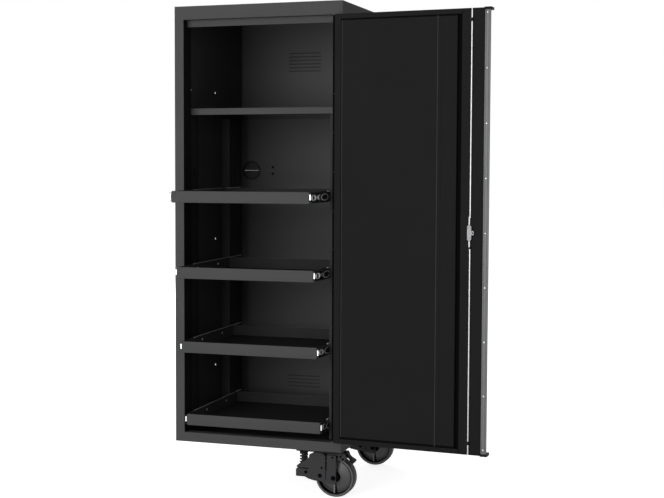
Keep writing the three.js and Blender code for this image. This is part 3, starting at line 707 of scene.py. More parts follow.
@dataclass
class Cabinet(Assembly):
    """The shell's own trim and painted shade: a near-black strip that paints the left jamb's shade, folded shelf,
    back louvres, cable grommet and cord plugs.
    """

    jamb: float = 36
    jamb_depth: float = 75
    jamb_rise: Lengths = (36.5, 1609.5)
    trim_thick: float = 0.3
    sheet: float = 1.5
    shelf_bend: float = 2.5
    vent_left: float = 214
    vent_length: float = 140
    vent_slot: float = 5
    vent_pitch: float = 15
    vent_rows: Sequence[tuple[float, int]] = ((1453, 6), (110, 4))
    louvre_depth: float = 6
    louvre_end: float = 8
    louvre_sheet: float = 0.8
    louvre_grid: tuple[int, int] = (41, 9)
    cable: Lengths = (46, 1036)
    cable_radius: float = 36
    bush: float = 3
    flange: float = 4.5
    flange_thick: float = 3
    flange_round: float = 0.8
    brush_over: float = 0.5
    brush_depth: Lengths = (-0.5, 1.5)
    brush_gap: float = 0.35
    cords: Points = ((142, 1022), (142, 1050))
    cord_radius: float = 5

    def jamb_trim(self) -> None:
        """A near-black flat strip carried up the left jamb's inner face, which paints the shade that falls there.
        """
        low, _ = corners("face_frame")
        start = low[:2] + [self.jamb, self.trim_thick]
        end = start + [self.trim_thick, self.jamb_depth - self.trim_thick]
        strip = block(start, end, [low[2] + level for level in self.jamb_rise], Plane.XY)
        self.add("left_jamb_trim", strip, "panel_black", "cabinet")

    def shelf(self) -> None:
        """The fixed shelf as one bent sheet: lip, floor and rear lip, carried across the cabinet."""
        low, high = corners("fixed_shelf")
        half = self.sheet / 2
        front, rear, floor = low[1] + half, high[1] - half, high[2] - half
        line = [(front, low[2]), (front, floor), (rear, floor), (rear, low[2])]
        sheet = extrude(folded(line, self.sheet, self.shelf_bend), low[0], high[0], Plane.YZ)
        self.add("folded_shelf", sheet, "frame_grey", "cabinet", ["fixed_shelf"])

    def louvre(self, left: float, bottom: float, back: float) -> Surface:
        """One hood over a slot: a quarter of an ellipse hung from the slot's top, whose depth runs out to
        nothing at both ends.

        Args:
            left: The slot's left end.
            bottom: The slot's lower edge.
            back: The outer face of the back panel.

        Returns:
            The hood as an open sheet.
        """
        rows, columns = self.louvre_grid
        across = np.linspace(-1, 1, rows)[:, None]
        angle = np.linspace(0, np.pi / 2, columns)[None, :]
        length = self.vent_length + 2 * self.louvre_end
        edge = np.clip((1 - np.abs(across)) * length / (2 * self.louvre_end), 0, 1)
        depth = self.louvre_depth * np.sqrt(edge * (2 - edge))
        points = np.zeros((rows, columns, 3))
        points[:, :, 0] = left + self.vent_length / 2 + across * length / 2
        points[:, :, 1] = back + depth * np.sin(angle)
        points[:, :, 2] = bottom - self.vent_slot / 2 + (self.vent_slot + self.louvre_depth) * np.cos(angle)
        return grid(points)

    def louvres(self) -> None:
        """All the hoods of both vents."""
        low, high = corners("back_panel")
        hoods = [
            self.louvre(low[0] + self.vent_left, low[2] + bottom + row * self.vent_pitch, high[1])
            for bottom, rows in self.vent_rows
            for row in range(rows)
        ]
        made = self.add("back_louvres", hoods, "interior_grey", "cabinet", solid=self.louvre_sheet)
        # The hoods' inner shells take the darker hood_shade finish, which paints the shade under them.
        made.data.materials.append(FINISHES["hood_shade"].material())
        made.modifiers["sheet"].material_offset = 1

    def grommet(self) -> None:
        """The cable hole's flanged ring, turned about Y, and its two brush halves, cut as half discs."""
        low, high = corners("back_panel")
        centre = np.array([low[0] + self.cable[0], low[1], low[2] + self.cable[1]])
        hole, wall, thick = self.cable_radius, high[1] - low[1], self.flange_thick
        inner, outer = hole - self.bush, hole + self.flange
        section = [(inner, -thick), (outer, -thick), (outer, 0), (hole, 0), (hole, wall), (outer, wall),
                   (outer, wall + thick), (inner, wall + thick)]
        ring = lathe(filleted(section, self.flange_round), 48, Y, centre, True)
        self.add("cable_grommet", ring, "grommet_ring", "cabinet")
        half = (inner + self.brush_over) * arc(33, np.pi) + [0, self.brush_gap / 2]
        near, far = (centre[1] + depth for depth in self.brush_depth)
        halves = [extrude(centre[[0, 2]] + half * [1, sense], near, far, Plane.XZ) for sense in (1, -1)]
        self.add("grommet_brush", halves, "brush_nylon", "cabinet")

    def cord_plugs(self) -> None:
        """The plugs of the cord holes, turned about Y: a dimpled face with a lip on each side."""
        low, high = corners("back_panel")
        wall, r, rise = high[1] - low[1], self.cord_radius, 1
        lip, neck = r + 0.8, r - 0.1
        profile = [(0, 0.5), (r - 1.5, 0.3), (r - rise, -rise), (lip, -rise), (lip, 0), (neck, 0),
                   (neck, wall), (lip, wall), (r + 0.6, wall + rise), (0, wall + rise)]
        plugs = [lathe(profile, 24, Y, (low[0] + x, low[1], low[2] + z)) for x, z in self.cords]
        self.add("cord_plugs", plugs, "plastic", "cabinet")

    def build(self) -> None:
        """Makes all of the cabinet's trim."""
        self.jamb_trim()
        self.shelf()
        self.louvres()
        self.grommet()
        self.cord_plugs()


@dataclass
class Tray(Assembly):
    """A roll-out tray: a folded pan with rolled rims, and the fittings of its slides; its slot rims, screw heads
    and lip strips are near-white to paint their glint.
    """

    number: int
    wall: float = 1.5
    bend: float = 2.2
    hem: float = 1.2
    screws: Lengths = (202, 420)
    screw_drop: float = 17.3
    screw: Lengths = (4.2, 2)
    tip_seat: float = 2
    tip_reach: float = 7.2
    tip_foot: float = 12
    tip_height: float = 20
    tip_rise: float = 2.2
    tip_thick: float = 1.2
    tip_bend: float = 1.5
    tip_edge: float = 0.3
    slots: Points = ((48, 22, 10), (150, 46, 11.5))
    stop_slot: Lengths = (50, 42, 11.5)
    rim_seat: float = 1.2
    rim_thick: float = 1.6
    rim_proud: float = 5
    stop_proud: float = 0.4
    rim_back: float = 0.8
    bead: float = 2
    bead_over: float = 0.4

    @property
    def body(self) -> str:
        """The body that carries the tray."""
        return f"tray_{self.number}"

    @property
    def prefix(self) -> str:
        """The tray's own words."""
        return f"{self.body}_"

    def make_pan(self) -> None:
        """The pan, over the node's own box, with a shaded floor and rear wall."""
        low, high = corners(self.prefix + "pan")
        shape = pan(low, high, self.wall, self.bend, self.hem)
        made = self.add("folded_pan", shape, "frame_grey", self.body, ["pan"])
        made.data.materials.append(FINISHES["inner_shade"].material())
        for face in made.data.polygons:
            rear = face.normal.y < -FACING and face.center.y > MM * (high[1] - 2 * self.wall)
            floor = face.normal.z > FACING and face.center.z < MM * (low[2] + 2 * self.wall)
            face.material_index = int(rear or floor)

    def pan_screws(self) -> None:
        """The heads, two in each side wall, of the screws that hold the slides: domes turned about X."""
        low, high = corners(self.prefix + "pan")
        heads = [
            lathe(dome(*self.screw) * [1, sense], 20, X, (wall, low[1] + back, high[2] - self.screw_drop))
            for wall, sense in ((low[0] + self.wall, 1), (high[0] - self.wall, -1))
            for back in self.screws
        ]
        # The heads are near-white to paint their glint.
        self.add("pan_screws", heads, "cage_bright", self.body)

    def raceways(self) -> None:
        """A near-white half round on the top lip of each fixed slide member, carried along Y, which paints the
        lip's highlight.
        """
        strips = []
        for side in Side:
            low, high = corners(f"{self.prefix}{side.word}_slide_outer")
            lip = high[0] if side is Side.LEFT else low[0]
            middle = lip + side.value * (self.bead - self.bead_over)
            bead = [middle, high[2]] + self.bead * arc(9, np.pi)
            strips.append(extrude(bead, low[1], high[1], Plane.XZ))
        self.add("raceways", strips, "cage_bright", "cabinet")

    def rim(self, centre: Lengths, half: Lengths, proud: float, out: int) -> Surface:
        """The rolled rim of an oval slot in a slide's web: an oval turned about X, then drawn out along Y.

        Args:
            centre: The slot's middle.
            half: Half of its length and half of its height.
            proud: How far the rim stands out.
            out: The sense of X in which it does; behind the web it is cut off flat.

        Returns:
            The rim.
        """
        across, rise = arc(10).T
        depth = out * np.maximum(proud * rise, -self.rim_back)
        section = np.stack([half[1] + self.rim_thick * across, depth], axis=1)
        ring = lathe(section, 40, X, (0, 0, 0), True)
        return ring.placed(lambda points: points * [1, half[0] / half[1], 1]).moved(centre)

    def fittings(self, side: Side) -> None:
        """The bent end tab of the inner slide member, and the rims of the slots in it and in the middle one.

        Args:
            side: The side of the slide.
        """
        slide, out = f"{side.word}_slide", side.value
        low, high = corners(f"{self.prefix}{slide}_inner")
        web = low[0] if side is Side.RIGHT else high[0]
        front, level = low[1], (low[2] + high[2]) / 2
        seat, end = web + out * self.tip_seat, front - self.tip_thick / 2
        line = [(seat, front + self.tip_foot), (seat, end), (web + out * self.tip_reach, end)]
        half, middle = self.tip_height / 2, level + self.tip_rise
        tab = extrude(folded(line, self.tip_thick, self.tip_bend), middle - half, middle + half, Plane.XY)
        rings = [
            self.rim((web + out * self.rim_seat, front + back, level), oval, self.rim_proud, out)
            for back, *oval in self.slots
        ]
        self.add(f"{slide}_tab", tab, "zinc", self.body, bevel=self.tip_edge)
        # The rims and the stop are near-white to paint their glint.
        self.add(f"{slide}_rims", rings, "cage_bright", self.body)
        low, high = corners(f"{self.prefix}{slide}_middle")
        outer = high[0] if side is Side.RIGHT else low[0]
        back, *oval = self.stop_slot
        stop = self.rim((outer, low[1] + back, level), oval, self.stop_proud, out)
        self.add(f"{slide}_stop", stop, "cage_bright", f"{self.body}_middle")

    def build(self) -> None:
        """Makes the pan and the fittings of both slides."""
        self.make_pan()
        self.pan_screws()
        self.raceways()
        for side in Side:
            self.fittings(side)


@dataclass
class Door(Assembly):
    """The door's folded inner panel with lighter strips that paint highlights along its bends and near-black
    strips that paint shade in its channel and across its ends, the pull handle, the rods with their guides and the
    lock's trim. Its shapes are drawn by u, the distance from the hinge axis, v, the depth from the outer face, and
    z above the cabinet's underside."""

    proud: float = 5
    sheet: float = 1.5
    top: float = 1607
    bottom: float = 42
    thick: float = 25
    panel: Lengths = (38.5, 467)
    panel_face: float = 23.5
    panel_ends: Lengths = (60.5, 1588.5)
    bead: Lengths = (391, 396, 408, 413)
    bead_rise: float = 1.3
    seam: Lengths = (1.2, 0.25)
    end_strips: Lengths = (6.5, 5)
    strip_rise: float = 1.4
    groove: Lengths = (468, 482)
    groove_levels: Lengths = (6, 14, 11)
    groove_sheet: Lengths = (1, 3)
    bend: float = 2
    handle: float = 564.3
    handle_wall: float = 2.5
    handle_inner: float = 20
    handle_outer: float = 12
    handle_proud: float = 14
    handle_round: float = 0.9
    handle_grooves: Lengths = (14, 4.5)
    handle_groove: Lengths = (0.9, 0.8)
    cap_over: Lengths = (2.5, 1.5)
    cap_round: float = 3
    cap_edge: float = 0.6
    cap_parts: Points = ((3.3, 0.1, 2.4), (0.2, 0.2, -7))
    rivets: int = 9
    rivet_u: float = 573
    rivet_span: Lengths = (63.3, 1590.4)
    rivet: Lengths = (3.3, 1.7)
    rod_u: float = 518.5
    rod_v: float = 23.65
    rod_shelf: float = 20
    rod_radius: float = 2.8
    guides: Lengths = (83.5, 1567.7)
    guide_half: Lengths = (4.6, 12, 6)
    guide_sheet: Lengths = (1.4, 1.6)
    guide_lift: float = 0.8
    lock: Lengths = (516.3, 827)
    case_half: Lengths = (7.4, 29)
    case_cut: float = 6
    case_wall: float = 1.6
    case_face: float = 28.5
    case_edge: float = 0.4
    case_round: float = 1
    ear: Lengths = (9, 7.5, 2.5)
    ear_depth: Lengths = (-3.2, -0.4)
    screws: Lengths = (4, 18)
    screw: Lengths = (1.9, 1)
    recess: Lengths = (0.9, 0.5)
    recess_rise: float = 0.8
    boss: Lengths = (3.6, 1.6)
    eye: Lengths = (2.6, 0.6)
    strip: Lengths = (513.8, 518.2)
    strip_reach: float = 53
    strip_over: float = 4
    rack_half: float = 1.6
    racks: Lengths = (3.8, 6.4)
    rack_levels: Lengths = (22, 19, -16)
    collar: Lengths = (-56, -50)
    collar_sides: Lengths = (0.6, 3.6)
    collar_depth: Lengths = (1, 2)
    collar_round: float = 0.8

    def place(self, points: Array) -> Array:
        """Carries points of u, v and z to the part's frame, along the door and into it.

        Args:
            points: Points by three.

        Returns:
            The points in the part's frame.
        """
        inward = np.array(joint("lock_turn")["axis"])
        along = np.array([-inward[1], inward[0], 0])
        axes = np.array([along, inward, (0, 0, 1)])
        return foot_of("door_turn") + (points + [0, self.proud, 0]) @ axes

    def inner_panel(self) -> None:
        """The inner panel as a bent sheet with a shallow bead, carried up the door, and lighter strips along two
        of its bends that paint their highlight.
        """
        half, foot = self.sheet / 2, 2 * self.sheet
        face = self.panel_face - half
        raised = face + self.bead_rise
        first, last = self.panel[0] + half, self.panel[1] - half
        rise = zip(self.bead, (face, raised, raised, face))
        line = [(first, foot), (first, face), *rise, (last, face), (last, foot)]
        sheet = extrude(folded(line, self.sheet, self.bend), *self.panel_ends, Plane.XY)
        self.add("door_folded_panel", sheet, "panel_black", "door", ["door_inner_panel"])
        starts = (
            (self.panel[0] + self.bend, self.panel_face),
            (self.bead[1], self.panel_face + self.bead_rise),
        )
        fold_highlights = [block(start, np.add(start, self.seam), self.panel_ends, Plane.XY) for start in starts]
        self.add("panel_seams", fold_highlights, "panel_seam", "door")

    def gaskets(self) -> None:
        """Near-black strips that paint shade: one in the channel beside the panel, bent to a ridge, and those
        across the panel's ends, which paint the shadow under its lips.
        """
        low, high = self.groove
        foot, lip, ridge = self.groove_levels
        line = [(low, foot), (low, lip), ((low + high) / 2, ridge), (high, lip), (high, foot)]
        strip = extrude(folded(line, *self.groove_sheet), *self.panel_ends, Plane.XY)
        self.add("channel_gasket", strip, "gasket", "door")
        left, right = self.panel
        bottom, top = self.panel_ends
        depth = self.panel_face, self.panel_face + self.strip_rise
        spans = (bottom, bottom + self.end_strips[0]), (top - self.end_strips[1], top)
        strips = [block((left, low), (right, high), depth, Plane.XZ) for low, high in spans]
        self.add("panel_end_gaskets", strips, "gasket", "door")

    def pull(self) -> None:
        """The pull handle's section with broken edges, carried up the door, its end caps and its rivets."""
        u, wall, out, face = self.handle, self.handle_wall, -self.handle_proud, self.thick
        outer, inner = u + self.handle_outer, u + self.handle_inner
        section = [(u, out), (outer, out), (outer, out + wall), (u + wall, out + wall),
                   (u + wall, face - wall), (inner, face - wall), (inner, face)]
        wide, deep = self.handle_groove
        for groove in self.handle_grooves:
            section += [(u + groove + wide, face), (u + groove, face - deep), (u + groove - wide, face)]
        section.append((u, face))
        bar = extrude(filleted(section, self.handle_round), self.bottom, self.top, Plane.XY)
        self.add("handle_bar", bar, "aluminium", "door", ["pull_handle"])
        side, lap = self.cap_over
        for name, end, sense in (("upper", self.top, 1), ("lower", self.bottom, -1)):
            shapes = [
                block((u - left, out - lap), (inner + side, face + lap),
                      sorted((end + sense * near, end + sense * far)), Plane.XY, self.cap_round)
                for left, near, far in self.cap_parts
            ]
            self.add(f"handle_{name}_cap", shapes, "plastic", "door", (), self.cap_edge)
        levels = np.linspace(*self.rivet_span, self.rivets)
        heads = [lathe(dome(*self.rivet), 20, Y, (self.rivet_u, face, z)) for z in levels]
        self.add("handle_rivets", heads, "zinc", "door")

    def rod_guides(self) -> None:
        """The strap guides over the rods: a bent strip with two feet."""
        u, (side, foot, half) = self.rod_u, self.guide_half
        base, over = self.rod_shelf + self.guide_lift, self.rod_v + side
        line = [(u - foot, base), (u - side, base), (u - side, over), (u + side, over), (u + side, base),
                (u + foot, base)]
        outline = folded(line, *self.guide_sheet)
        straps = [extrude(outline, z - half, z + half, Plane.XY) for z in self.guides]
        self.add("rod_guides", straps, "plastic", "door")

    def lock_case(self) -> None:
        """The lock's case: an eight-sided cover on two walls, with screws, a boss and an eye at its side."""
        (u, z), (wide, tall), face = self.lock, self.case_half, self.case_face
        flat, high = wide - self.case_cut, tall - self.case_cut
        cover = np.array([(-flat, -tall), (flat, -tall), (wide, -high), (wide, high), (flat, tall),
                          (-flat, tall), (-wide, high), (-wide, -high)])
        outline = filleted(self.lock + cover, self.case_round, steps=2)
        plate = extrude(outline, face - self.case_wall, face, Plane.XZ)
        thin = self.case_wall / 2
        walls = [block((edge, z - high), (edge + thin, z + high), (self.rod_shelf, face - thin), Plane.XZ)
                 for edge in (u - wide, u + wide - thin)]
        reach, half, corner = self.ear
        depth = [face + level for level in self.ear_depth]
        ear = block((u + wide - thin, z - half), (u + wide + reach, z + half), depth, Plane.XZ, corner)
        self.add("lock_case", [plate, *walls, ear], "lock_steel", "door", ["latch_housing"], self.case_edge)
        across, up = self.screws
        places = [(u + a * across, z + b * up) for a in SENSES for b in SENSES]
        boss = lathe(dome(*self.boss), 28, Y, (u, face, z))
        heads = [lathe(dome(*self.screw), 16, Y, (x, face, level)) for x, level in places]
        self.add("lock_screws", [boss, *heads], "strip_steel", "door")
        # The eye and the recesses by the screws are near-black domes that paint the shade in them.
        eye = lathe(dome(*self.eye), 20, Y, (u + wide + reach / 2, depth[1], z))
        bottom = face + self.recess_rise
        slots = [lathe(dome(*self.recess), 10, Y, (x, bottom, level)) for x, level in places]
        self.add("lock_recesses", [eye, *slots], "gasket", "door")

    def rods(self) -> None:
        """The two rods: a round bar from the door's end to a flat strip, which steps inside the case to its
        rack, and the lower one's collar."""
        lock_u, lock_z = self.lock
        depth = near, far = self.rod_v - self.rack_half, self.rod_v + self.rack_half
        left, right = self.strip
        for name, side, end in (("upper", 1, self.top), ("lower", -1, self.bottom)):
            meet, knee, inside, rack_end = (lock_z + side * z for z in (self.strip_reach, *self.rack_levels))
            bar = rod(self.rod_radius, meet, end, 20, Z, (self.rod_u, self.rod_v, 0))
            low, high = sorted(lock_u + side * reach for reach in self.racks)
            parts = [
                ((left, meet + side * self.strip_over), (right, inside)),
                ((min(low, left), knee), (max(high, right), inside)),
                ((low, inside), (high, rack_end)),
            ]
            body = f"{name}_latch_rod"
            flats = [block(first, second, depth, Plane.XZ) for first, second in parts]
            self.add(f"{name}_rod_bar", bar, "rod_zinc", body, [body])
            self.add(f"{name}_rod_strip", flats, "strip_steel", body)
        bottom, top = (lock_z + level for level in self.collar)
        (less, more), (under, over) = self.collar_sides, self.collar_depth
        collar = block((left - less, bottom), (self.rod_u + more, top), (near - under, far + over), Plane.XZ,
                       self.collar_round)
        self.add("lower_rod_collar", collar, "gasket", "lower_latch_rod")

    def build(self) -> None:
        """Makes all of the door's pieces."""
        self.inner_panel()
        self.gaskets()
        self.pull()
        self.rod_guides()
        self.lock_case()
        self.rods()


@dataclass
class Caster(Assembly):
    """A sprung swivel caster, drawn by x from its swivel axis, y from its middle and z from the base."""

    where: Place
    yoke_half: float = 42
    yoke_plate: float = 4
    arm_outer: float = 37.4
    arm_plate: float = 4
    plate_under: float = -10
    plate_bolt: Lengths = (66, 44)
    nut_width: float = 17
    crown: Lengths = (-20, -15)
    crown_span: Lengths = (-50, 14)
    shoulder: float = -26
    cheek_edge: float = -78
    seat: Lengths = (-74, -70)
    nose: Lengths = (-103, -69)
    nose_span: Lengths = (-113, -83)
    pivot: Lengths = (-7, -104)
    axle: Lengths = (45, -110)
    axle_radius: float = 8
    leg: Lengths = (18, 55)
    leg_top: float = -24
    rivet: Lengths = (4.4, 1.2)
    wheel_radius: float = 76
    wheel_half: float = 23
    tread: float = 9
    hub_bore: float = 8.3
    hub_radius: float = 19
    hub_half: float = 32.8
    spring_x: float = -83
    spring_radius: float = 13.4
    spring_wire: float = 6
    spring_turns: int = 4
    spring_end: float = 0.08
    spring_span: Lengths = (-69.6, -27.4)
    bolt_top: float = -15.5
    tongue: Lengths = (-20, 68)
    ear: Lengths = (26, 29)
    ear_foot: float = -45
    hinge: Lengths = (74, -21)
    pedal_half: float = 20
    pedal_tilt: float = math.radians(-34)
    pedal_edge: float = 0.6
    edge: float = 0.7
    fine_edge: float = 0.4
    yoke_round: float = 5
    arm_round: float = 4
    washer_share: float = 0.72
    washer_depth: Lengths = (-0.3, 1)
    race: Lengths = (30, 52, 60)
    race_depth: Lengths = (1.5, 4.6)
    plate_bolt_depth: Lengths = (-4, 0.2)
    shank_radius: float = 3.6
    cup: Lengths = (4.2, 16.4, 0.2, 2.2)
    guide: Lengths = (8, 9, 36)
    lip: Lengths = (2.6, 1)
    rib_span: Lengths = (24, 5)
    pedal_neck: Points = ((-4, 0), (11, 0), (34, -22))
    pedal_sheet: Lengths = (11, 8)
    pedal_hinge: float = 5
    pedal_shoe: Lengths = (37, -24)
    shoe_corners: Points = ((9, 4), (9, -8), (-9, -8), (-9, 4))
    ridge_radius: float = 1.1
    ridge_share: float = 0.9
    ridge_span: float = 6
    ridges: int = 4

    @property
    def prefix(self) -> str:
        """The caster's own words."""
        return f"{self.where.value}_caster_"

    def origin(self) -> Array:
        """The swivel axis at the level of the cabinet's underside."""
        return foot_of(f"{self.where.value}_swivel_turn")

    def place(self, points: Array) -> Array:
        """Carries points to the swivel axis."""
        return points + self.origin()

    def carrier(self, body: str) -> str:
        """The cabinet, or one of the caster's own moving parts."""
        return body if body == "cabinet" else f"{self.where.value}_{body}"

    def both_sides(self, outline: Points, outer: float, thick: float) -> Surface:
        """An upright plate on each side of the middle."""
        return merged(*(extrude(outline, s * outer, s * (outer - thick), Plane.XZ) for s in SENSES))

    def yoke(self) -> None:
        """The yoke: two rounded cheeks under a domed crown, and the spring's seat between them."""
        left, right = self.crown_span
        x, z = self.pivot
        tip, end = self.nose[0] + self.arm_plate, self.nose[1]
        cheek = filleted([
            (tip, self.cheek_edge), (tip, self.seat[1] - 2), (self.spring_x, self.seat[1] + 8),
            (left, -38), (left, self.shoulder), (right, self.shoulder), (right, z - 14),
            (x - 18, z - 21), (end + 24, self.nose_span[0] - 8),
            (end + 18, self.cheek_edge)], self.yoke_round)
        inside = self.yoke_half - 1.5
        shelf = block((tip + 1, -inside), (end + 12, inside), self.seat, Plane.XY, self.yoke_round)
        parts = [self.both_sides(cheek, self.yoke_half, self.yoke_plate), self.dome_crown(), shelf]
        if self.where is Place.FRONT:
            parts.append(self.brake_bracket())
        self.add("pressed_yoke", parts, "caster_grey", "swivel", ["yoke"], self.edge)
        self.bolts("pivot_bolts", self.pivot, self.yoke_half, (11, 5), "swivel")
        self.rivets("cheek_rivets", [(0, -74)], self.yoke_half, "swivel")

    def dome_crown(self) -> Surface:
        """The crown: the section of a bent sheet across the yoke, whose ends lean inward as they rise.

        Returns:
            The closed surface.
        """
        wall = self.yoke_half - self.yoke_plate / 2
        level = self.crown[1] - self.yoke_plate / 2
        line = [(-wall, self.shoulder), (-wall, level), (wall, level), (wall, self.shoulder)]
        section = folded(line, self.yoke_plate, 8)
        lean = 2 * np.maximum(section[:, 1] - self.shoulder, 0)
        ends = [self.crown_span[0] + lean, self.crown_span[1] - lean]
        return tube(np.stack([np.column_stack([x, section]) for x in ends]))

    def brake_bracket(self) -> Surface:
        """The front yoke's bracket: a tongue back over the wheel, and two ears for the pedal's hinge.

        Returns:
            The surface.
        """
        inner, outer = self.ear
        (x, z), start, top = self.hinge, self.leg[0], self.crown[1]
        first, last = self.tongue
        tongue = block((first, -outer), (last, outer), self.crown, Plane.XY, 3)
        ear = filleted([
            (start, top), (x + 12, top), (x + 18, z - 6), (x + 12, self.ear_foot),
            (x - 6, self.ear_foot), (start, z - 6)], 4)
        pin = rod(3, -outer, outer, 16, Y, (x, 0, z))
        return merged(tongue, self.both_sides(ear, outer, outer - inner), pin)

    def rivets(self, part: str, places: Points, outer: float, body: str) -> None:
        """Domed rivets on both sides; their near-black paints the shade of the holes they sit in.

        Args:
            part: The piece's word.
            places: Their x and z.
            outer: Where they seat, to both sides of the middle.
            body: The moving part that carries them.
        """
        rim, crown = self.rivet
        curve = [0, outer] + [rim, crown] * arc(6, np.pi / 2)
        curve[-1, 0] = 0
        profile = np.concatenate([[(0, outer - crown), (rim, outer - crown)], curve])
        heads = [lathe(profile * [1, sense], 16, Y, (x, 0, z)) for sense in SENSES for x, z in places]
        self.add(part, heads, "gasket", body)

    def bolts(self, part: str, at: Lengths, outer: float, head: Lengths, body: str) -> None:
        """A hexagon head with its washer on each side, square to the plates; both are near-black, which paints the
        shadow round the head.

        Args:
            part: The piece's word.
            at: Its x and z.
            outer: Where the heads seat, to both sides of the middle.
            head: Its width across flats and its height.
            body: The moving part that carries it.
        """
        width, height = head
        washer = np.asarray(at) + self.washer_share * width * arc(24)
        under, over = self.washer_depth
        layers = ((hexagon(at, width), outer, outer + height), (washer, outer + under, outer + over))
        parts = [
            extrude(outline, sense * near, sense * far, Plane.XZ)
            for sense in SENSES
            for outline, near, far in layers
        ]
        self.add(part, parts, "gasket", body, (), self.fine_edge)

    def arm(self) -> None:
        """The arm: two plates with rounded outlines, the nose block that joins them, axle and pads."""
        left, right = self.leg
        x, z = self.axle
        (tip, end), (foot, head) = self.nose, self.nose_span
        outline = filleted([
            (tip, head), (left, head), (left, self.leg_top), (right, self.leg_top), (right, z - 16),
            (x + 8, z - 24), (x - 8, z - 24), (self.pivot[0] - 6, self.pivot[1] - 21),
            (end + 18, foot - 8), (end, foot), (tip, foot)], self.arm_round)
        plates = self.both_sides(outline, self.arm_outer, self.arm_plate)
        inner = self.arm_outer - self.arm_plate
        nose = block((tip, foot), (end, head), (-inner, inner), Plane.XZ, self.arm_round)
        axle = rod(self.axle_radius, -inner, inner, 32, Y, (x, 0, z))
        pad = filleted(rectangle((left + 1.5, z - 16), (right, self.leg_top)), self.arm_round)
        pads = self.both_sides(pad, self.yoke_half, self.yoke_half - self.arm_outer + 1)
        self.add("pressed_arm", [plates, pads, nose, axle], "caster_grey", "arm", ["arm"], self.edge)
        self.bolts("axle_bolts", self.axle, self.yoke_half, (13, 5), "arm")
        self.bolts("nose_bolts", (end + 5, foot + 18), self.arm_outer, (9, 4), "arm")
        self.rivets("leg_rivets", [(42, -32)], self.yoke_half, "arm")

    def pull_bolt(self) -> None:
        """The bolt through the spring, its nut and cup, and the guide inside the coil."""
        axis = (self.spring_x, 0, 0)
        seat, top = self.spring_span[1], self.bolt_top
        shank = rod(self.shank_radius, self.nose_span[1] - 2, top, 20, Z, axis)
        nut = extrude(hexagon(axis[:2], self.nut_width), seat + 2, top, Plane.XY)
        inner, outer, low, high = self.cup
        cup = sleeve(inner, outer, seat + low, seat + high, 32, axis)
        self.add("pull_bolt", shank, "caster_black", "arm")
        self.add("pull_nut", [nut, cup], "caster_black", "arm", (), self.fine_edge)
        inner, outer, rise = self.guide
        guide = sleeve(inner, outer, self.seat[1], self.seat[1] + rise, 32, axis)
        self.add("spring_guide", guide, "caster_black", "swivel")

    def wheel(self) -> None:
        """The wheel, turned about its axle: a dished core with a long hub, near-black bands on the hub and inside
        the rim that paint their shade, light bars that paint a highlight streak with near-black bars of painted
        shadow beside them, and a tread with round shoulders and lighter rings at its edges that paint their
        highlight."""
        x, z = self.axle
        centre = (x, 0, z)
        tyre, hub, half = self.wheel_radius, self.hub_radius, self.wheel_half
        rim = tyre - self.tread
        face = [(hub, 15), (rim - 6, 4), (rim - 3, half - 1), (rim, half - 1)]
        section = face + [(r, -h) for r, h in reversed(face)]
        core = lathe(filleted(section, 2), 64, Y, centre, True)
        self.add("wheel_core", core, "wheel_core", "wheel", ["wheel"])
        # Near-black bands on the hub and inside the rim paint the shade that falls there.
        bore, end, wide = self.hub_bore, self.hub_half, hub + 2
        section = [(bore, -end), (hub, -end), (wide, -12), (wide, 12), (hub, end), (bore, end)]
        bands = [lathe(filleted(section, 1.5), 40, Y, centre, True)]
        for sense in SENSES:
            low, high = sense * 5, sense * (half - 0.6)
            wall = [(rim - 6.2, low), (rim - 2.6, low), (rim - 2, high), (rim - 4.4, high)]
            bands.append(lathe(wall, 64, Y, centre, True))
        self.add("wheel_bands", bands, "gasket", "wheel")
        # Light bars paint a highlight streak across the wheel's face, and the near-black bars beside them its
        # shadow.
        highlight_bars = (
            ("wheel_ribs", -3, (2.6, 15), "mould_grey", 0.6),
            ("wheel_rib_gaps", 3, (1.4, 14), "gasket", 0.0),
        )
        for part, shift, (wide, proud), finish, bevel in highlight_bars:
            bars = []
            for sense in SENSES:
                middle = x - sense * shift
                near, far = z + sense * self.rib_span[0], z + sense * (rim - self.rib_span[1])
                bars.append(block((middle - wide, near), (middle + wide, far), (-proud, proud), Plane.XZ))
            self.add(part, bars, finish, "wheel", (), bevel)
        foot, shoulder = rim + 0.2, half - 6
        shoe = [(foot, -half), (tyre - 2, -half), (tyre, -shoulder), (tyre, shoulder), (tyre - 2, half),
                (foot, half)]
        self.add("wheel_tread", lathe(filleted(shoe, 3.5), 72, Y, centre, True), "rubber", "wheel")
        # Lighter rings at the tread's edges paint their highlight.
        wide, high = self.lip
        lips = [lathe([rim + wide, s * half] + [wide, high] * arc(10), 72, Y, centre, True) for s in SENSES]
        self.add("wheel_rim_lips", lips, "rim_lip", "wheel")

    def spring(self) -> None:
        """The coil: a round section carried along a helix that flattens into its end turns."""
        bottom, top = self.spring_span
        wire, flat = self.spring_wire / 2, self.spring_end
        low, high = bottom + wire, top - wire
        share = np.linspace(0, 1, 24 * self.spring_turns + 1)
        turn = FULL_TURN * self.spring_turns * share
        rise = np.clip((share - flat) / (1 - 2 * flat), 0, 1)
        outward = np.stack([np.cos(turn), np.sin(turn), np.zeros_like(turn)], axis=1)
        middle = [self.spring_x, 0, low] + self.spring_radius * outward
        middle[:, 2] += (high - low) * rise
        up = np.cross(outward, np.gradient(middle, axis=0))
        up = up / np.linalg.norm(up, axis=1)[:, None]
        across, along = wire * arc(12).T[:, None, :, None]
        rings = middle[:, None] + across * outward[:, None] + along * up[:, None]
        coil = self.add("coil", tube(rings), "caster_grey", "swivel", ["spring"])
        foot = MM * (self.origin() + [self.spring_x, 0, bottom])
        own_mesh(coil)

